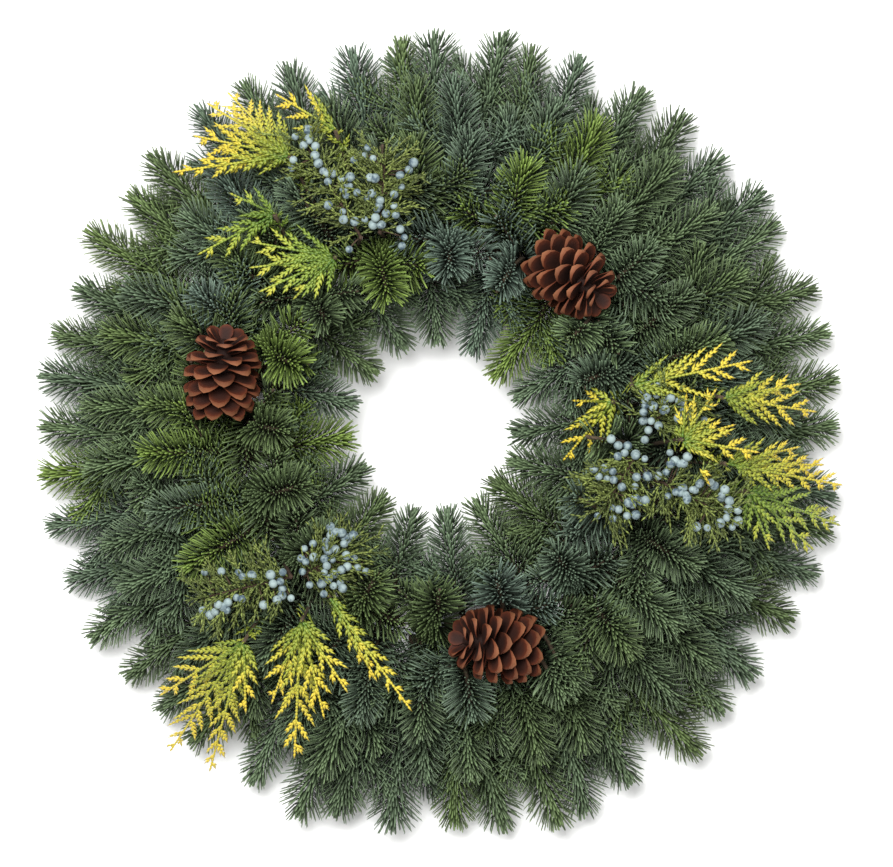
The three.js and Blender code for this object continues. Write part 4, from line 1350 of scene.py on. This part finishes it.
def frond(lace, curve, half_width, seed, ripeness):
    """Branchlets along a rib. Ripeness is a pair, for the hub and for the tip."""
    ripe_from, ripe_to = ripeness
    up = unit(UP + spread(seed, 3, ROLL) * curve.frame(0.5)[1])
    count = int(curve.length * (1 - BARE) / BRANCHLET_STEP)
    for i in range(count):
        share = (i + 0.5) / count
        swell = np.sin(np.pi * (OUTLINE[0] + OUTLINE[1] * share))
        chance = 0.62 + 0.66 * noise(seed, i)
        length = half_width * FULLNESS * swell * chance / np.sin(BRANCHLET_LEAN)
        tip_at = BARE + (1 - BARE) * share
        t = max(tip_at - length * np.cos(BRANCHLET_LEAN) / curve.length, 0.02)
        along, side, top = curve.frame(t, up)
        out = unit(side * (1 if i % 2 else -1) + top * spread(seed, i + 60, 0.22))
        direction = np.cos(BRANCHLET_LEAN) * along + np.sin(BRANCHLET_LEAN) * out
        ripe = ripe_from + (ripe_to - ripe_from) * (0.6 * tip_at + 0.4 * share) ** 1.4
        branchlet(lace, curve.at(t), direction, np.cross(direction, top), length, ripe, seed * 31 + i)
    rib = np.linspace(0, 0.97, max(int(curve.length / LEAF_STEP), 2))
    along, side, _ = curve.frame(rib, up)
    ripe = ripe_from + (ripe_to - ripe_from) * rib
    lace.add(curve.at(rib), along, side, LEAF_LENGTH, LEAF_WIDTH * (1.15 - 0.3 * rib), ripe, 0.7)


# %% Thirteen pieces of cedar
STEM_UP = np.array((1.0, 0.3, 0.0))  # what an upright stem takes as up
STEM_SWELL = 0.4  # by which a stem is thicker at its hub
LEAFY_STEM = 0.4  # of the stem, from the hub down
LEAFY_STEM_WIDTH = 7
GREEN_RIPENESS, GOLD_RIPENESS, STEM_RIPENESS = (0.0, 0.75), (0.05, 1.05), (0.0, 0.3)
CEDAR_THICKNESS = 0.3  # of a leaf's width, because cedar is flat


def bare_stem(sheaf, stem):
    sheaf.add(follow(TWIG, stem, lambda t: STEM_RADIUS + STEM_SWELL * (1 - t), STEM_UP), TWIG[1], WOOD)


def cedar(name, hub, seat, lift, fronds, order):
    """Fronds from one hub, and a stem down to the ring with small leaves on its upper part."""
    sheaf, lace = Sheaf(), Lace()
    green = name in GREEN_CEDARS
    ripeness = GREEN_RIPENESS if green else GOLD_RIPENESS
    stem = stem_curve(on_foliage(hub, ABOVE_FOLIAGE + lift), seat)
    bare_stem(sheaf, stem)
    for index, tip in enumerate(fronds):
        frond(lace, frond_curve(hub, lift, fronds, index), tip[2], order * 17 + index * 5 + 3, ripeness)
    leafy = Bend(*(stem.at(t) for t in (LEAFY_STEM, LEAFY_STEM / 2, 0)))
    frond(lace, leafy, LEAFY_STEM_WIDTH, order * 17, STEM_RIPENESS)
    lace.sew(sheaf, CEDAR_THICKNESS)
    leaves, slot = (cedar_green, "cedar_green") if green else (cedar_gold, "cedar_gold")
    make_piece(f"{name}_fronds", sheaf, [fir_bark, leaves], name)


for order, (name, (hub, seat, lift, fronds)) in enumerate(CEDARS.items()):
    cedar(name, hub, seat, lift, fronds, order)
print("cedar made; total", total_triangles, "triangles")

# %% [markdown]
# ## Juniper
#
# Juniper twigs are thin, round and tangled, and fork every few millimetres in every direction. The berries
# hang together in ones to fours on short stalks, and most of them are held up to the light. A ready-made
# tree tool would draw too regular a bush. Here the twigs wind round the sprig by the golden angle and take
# their lean and their length by chance. They use the cedar's lace, with narrower and rounder leaves.

# %% Dimensions of a juniper sprig
TWIGS_PER_SPRIG = 60
TWIG_THICKNESS = 0.75  # of a cedar leaf's width
JUNIPER_THICKNESS = 0.85  # of a leaf's width, because juniper is nearly round
FORK_STEP = 4.2
FORK_LENGTH = 5.2
BUNCHES_PER_SPRIG = 14
BUNCH_REACH = 19  # how far to the side of the sprig a bunch may hang
BUNCH_RISE = 9  # above the sprig
MORE_BERRIES = 3.4  # chance times this, as a whole number, is added to the first berry
BERRY_DIAMETER = 7.3


# %% Forked twigs
def forked_twig(lace, root, direction, across, length, ripe, seed):
    """A shoot with forks all round it, each of two leaves in a row."""
    lace.shoot(root, direction, across, length, TWIG_THICKNESS, ripe, seed)
    order = np.arange(int(length / FORK_STEP))
    places = FORK_STEP * (order + 0.7)
    turn = (order * GOLDEN_ANGLE + seed)[:, None]
    off = np.cos(turn) * across + np.sin(turn) * np.cross(across, direction)
    forks = unit(direction + off * (0.45 + 0.3 * noise(seed, order))[:, None])
    size = FORK_LENGTH * (0.9 + 0.4 * noise(seed, order + 5))
    width = LEAF_WIDTH * TWIG_THICKNESS * 0.9
    for step in range(2):
        roots = root + direction * places[:, None] + forks * (size * 0.72 * step)[:, None]
        lace.add(roots, forks, across, size, width, ripe + 0.1 + 0.1 * step, noise(seed, order + 9 + step))


# %% Bunches of berries
def berry_bunch(sheaf, centre, along, seed, turned, count):
    """Berries round the first one, each with its scar turned up or outwards."""
    order = np.arange(count)
    turn = order * GOLDEN_ANGLE + turned
    outset = np.where(order == 0, 0, BERRY_DIAMETER * (0.85 + 0.3 * noise(seed, order + 12)))
    around = np.stack([np.cos(turn), np.sin(turn), spread(seed, order + 16, 0.5)], axis=1)
    size = BERRY_DIAMETER * (0.72 + 0.36 * noise(seed, order + 20))
    chances = np.stack([spread(seed, order + k, 0.7) for k in (30, 40, 50)], axis=1)
    facing = unit(UP * 0.5 + 0.6 * around + chances)
    roots = centre + around * outset[:, None] - facing * size[:, None] / 2
    copies = place(BERRY, roots, facing, unit(np.cross(facing, along)), size, size, size)
    keep = inside(copies)
    tone = noise(seed, order + 60)[keep, None]
    sheaf.add(copies[keep], BERRY[1], BERRIES, along=BERRY[0][:, 2], tone=tone)


def berries(sheaf, curve, seed):
    """Bunches all along a sprig, each on a stalk that forks from it."""
    for bunch in range(BUNCHES_PER_SPRIG):
        chance = [noise(seed + bunch, k) for k in range(6)]
        t = (bunch + chance[0]) / BUNCHES_PER_SPRIG
        along, side, top = curve.frame(t)
        reach = (2 * chance[1] - 1) * BUNCH_REACH
        rise = BUNCH_RISE + 4 * chance[3] - abs(reach) / 5
        centre = curve.at(t) + side * reach + along * (8 * chance[2] - 4) + top * rise
        stalk = Bend(curve.at(t), curve.at(t) + side * reach * 0.5 + top * 4, centre - UP * 3)
        sheaf.add(follow(TWIGLET, stalk, lambda t: 0.8 - 0.2 * t, STEM_UP), TWIGLET[1], WOOD)
        count = 1 + int(chance[4] * MORE_BERRIES)
        berry_bunch(sheaf, centre, along, seed + bunch, 6 * chance[5], count)


# %% Seven sprigs of juniper
def juniper(name, start, end, lift, seat, order):
    sheaf, lace = Sheaf(), Lace()
    curve = sprig_curve(start, end, lift)
    bare_stem(sheaf, stem_curve(curve.points[0], seat))
    sheaf.add(follow(TWIG, curve, lambda t: STEM_RADIUS - 0.8 * t), TWIG[1], WOOD)
    for i in range(TWIGS_PER_SPRIG):
        seed = order * 101 + i
        t = 0.02 + 0.96 * (i + noise(seed, 1)) / TWIGS_PER_SPRIG
        along, side, top = curve.frame(t)
        turn = i * GOLDEN_ANGLE
        outward = unit(np.cos(turn) * side + (0.65 * np.sin(turn) + 0.1) * top)
        direction = unit(along * (0.5 + spread(seed, 2, 0.5)) + outward)
        length = 18 + 18 * noise(seed, 3)
        ripe = 0.15 + 0.7 * noise(seed, 4)
        forked_twig(lace, curve.at(t), direction, unit(np.cross(direction, UP)), length, ripe, seed)
    lace.sew(sheaf, JUNIPER_THICKNESS)
    berries(sheaf, curve, order * 67)
    finishes = [juniper_bark, juniper_leaves, juniper_berries]
    make_piece(f"{name}_sprig", sheaf, finishes, name)


for order, (name, (start, end, lift, seat)) in enumerate(JUNIPERS.items()):
    juniper(name, start, end, lift, seat, order)
print("juniper made; total", total_triangles, "triangles")

# %% [markdown]
# ## Ring and wires
#
# The ring and the wires have their real shapes already and are almost hidden. Modelling them again would
# show nothing new, so they keep their CAD meshes and get their metals.

# %% Metals on the CAD nodes
wires = [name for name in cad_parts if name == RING_NAME or name.startswith("cone_wire")]
for name in wires:
    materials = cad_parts[name].data.materials
    materials.clear()
    materials.append(zinc if name == RING_NAME else steel)
print("kept from the CAD part:", wires)

# %% [markdown]
# ## Studio
#
# A matt white floor, one large soft light from above the wreath's top left, a weaker one from the other
# side, and a pale sky all round, which keeps the shadows open. A picture of a real studio could light it
# all, but two lamps are easier to steer. The camera looks straight down from far off with a long lens, so
# there is little perspective, and the wreath stays round.

# %% Floor
FLOOR_SIZE = 12  # metres
FLOOR_GAP = 0.0005  # so that the floor isn't in one plane with the wreath's back


def pale_floor():
    material, shader = new_finish("matt white studio floor", Roughness=0.9)
    shader.inputs["Base Color"].default_value = colour("#fdfdfc")
    bm = bmesh.new()
    bmesh.ops.create_grid(bm, x_segments=1, y_segments=1, size=FLOOR_SIZE / 2)
    bmesh.ops.translate(bm, verts=bm.verts, vec=(0, 0, cad_box[0].z - FLOOR_GAP))
    mesh = bpy.data.meshes.new("floor")
    bm.to_mesh(mesh)
    bm.free()
    mesh.materials.append(material)
    floor = bpy.data.objects.new("floor", mesh)
    bpy.context.scene.collection.objects.link(floor)


pale_floor()
print("floor", FLOOR_SIZE, "m across")


# %% Light
SKY_STRENGTH = 0.38


def soft_light(name, place, size, watts):
    lamp = bpy.data.lights.new(name, "AREA")
    lamp.size = size
    lamp.energy = watts
    light = bpy.data.objects.new(name, lamp)
    bpy.context.scene.collection.objects.link(light)
    light.location = place
    light.rotation_euler = (-light.location).to_track_quat("-Z", "Y").to_euler()


soft_light("key", (-0.5, 0.8, 2.8), size=1.4, watts=130)
soft_light("fill", (1.2, -0.5, 2.8), size=2.0, watts=24)
world = bpy.data.worlds.new("pale sky")
bpy.context.scene.world = world
world.use_nodes = True
sky = world.node_tree.nodes["Background"]
sky.inputs["Color"].default_value = (1, 1, 1, 1)
sky.inputs["Strength"].default_value = SKY_STRENGTH
bpy.context.scene.view_settings.view_transform = "Standard"

# %% Camera
VIEW_WIDTH = 0.672  # metres that the camera sees, at the height of the rim
VIEW_CENTRE = (0.0035, 0.0005)  # from the ring's centre
CAMERA_HEIGHT = 6
RIM_HEIGHT = 0.035
SENSOR_WIDTH = 36

camera_data = bpy.data.cameras.new("camera")
camera_data.sensor_width = SENSOR_WIDTH
camera_data.lens = SENSOR_WIDTH * (CAMERA_HEIGHT - RIM_HEIGHT) / VIEW_WIDTH
camera = bpy.data.objects.new("camera", camera_data)
camera.location = (CENTRE[0] + VIEW_CENTRE[0], CENTRE[1] + VIEW_CENTRE[1], CAMERA_HEIGHT)
bpy.context.scene.collection.objects.link(camera)
bpy.context.scene.camera = camera
print("camera", CAMERA_HEIGHT, "m up, with a lens of", round(camera_data.lens), "mm")
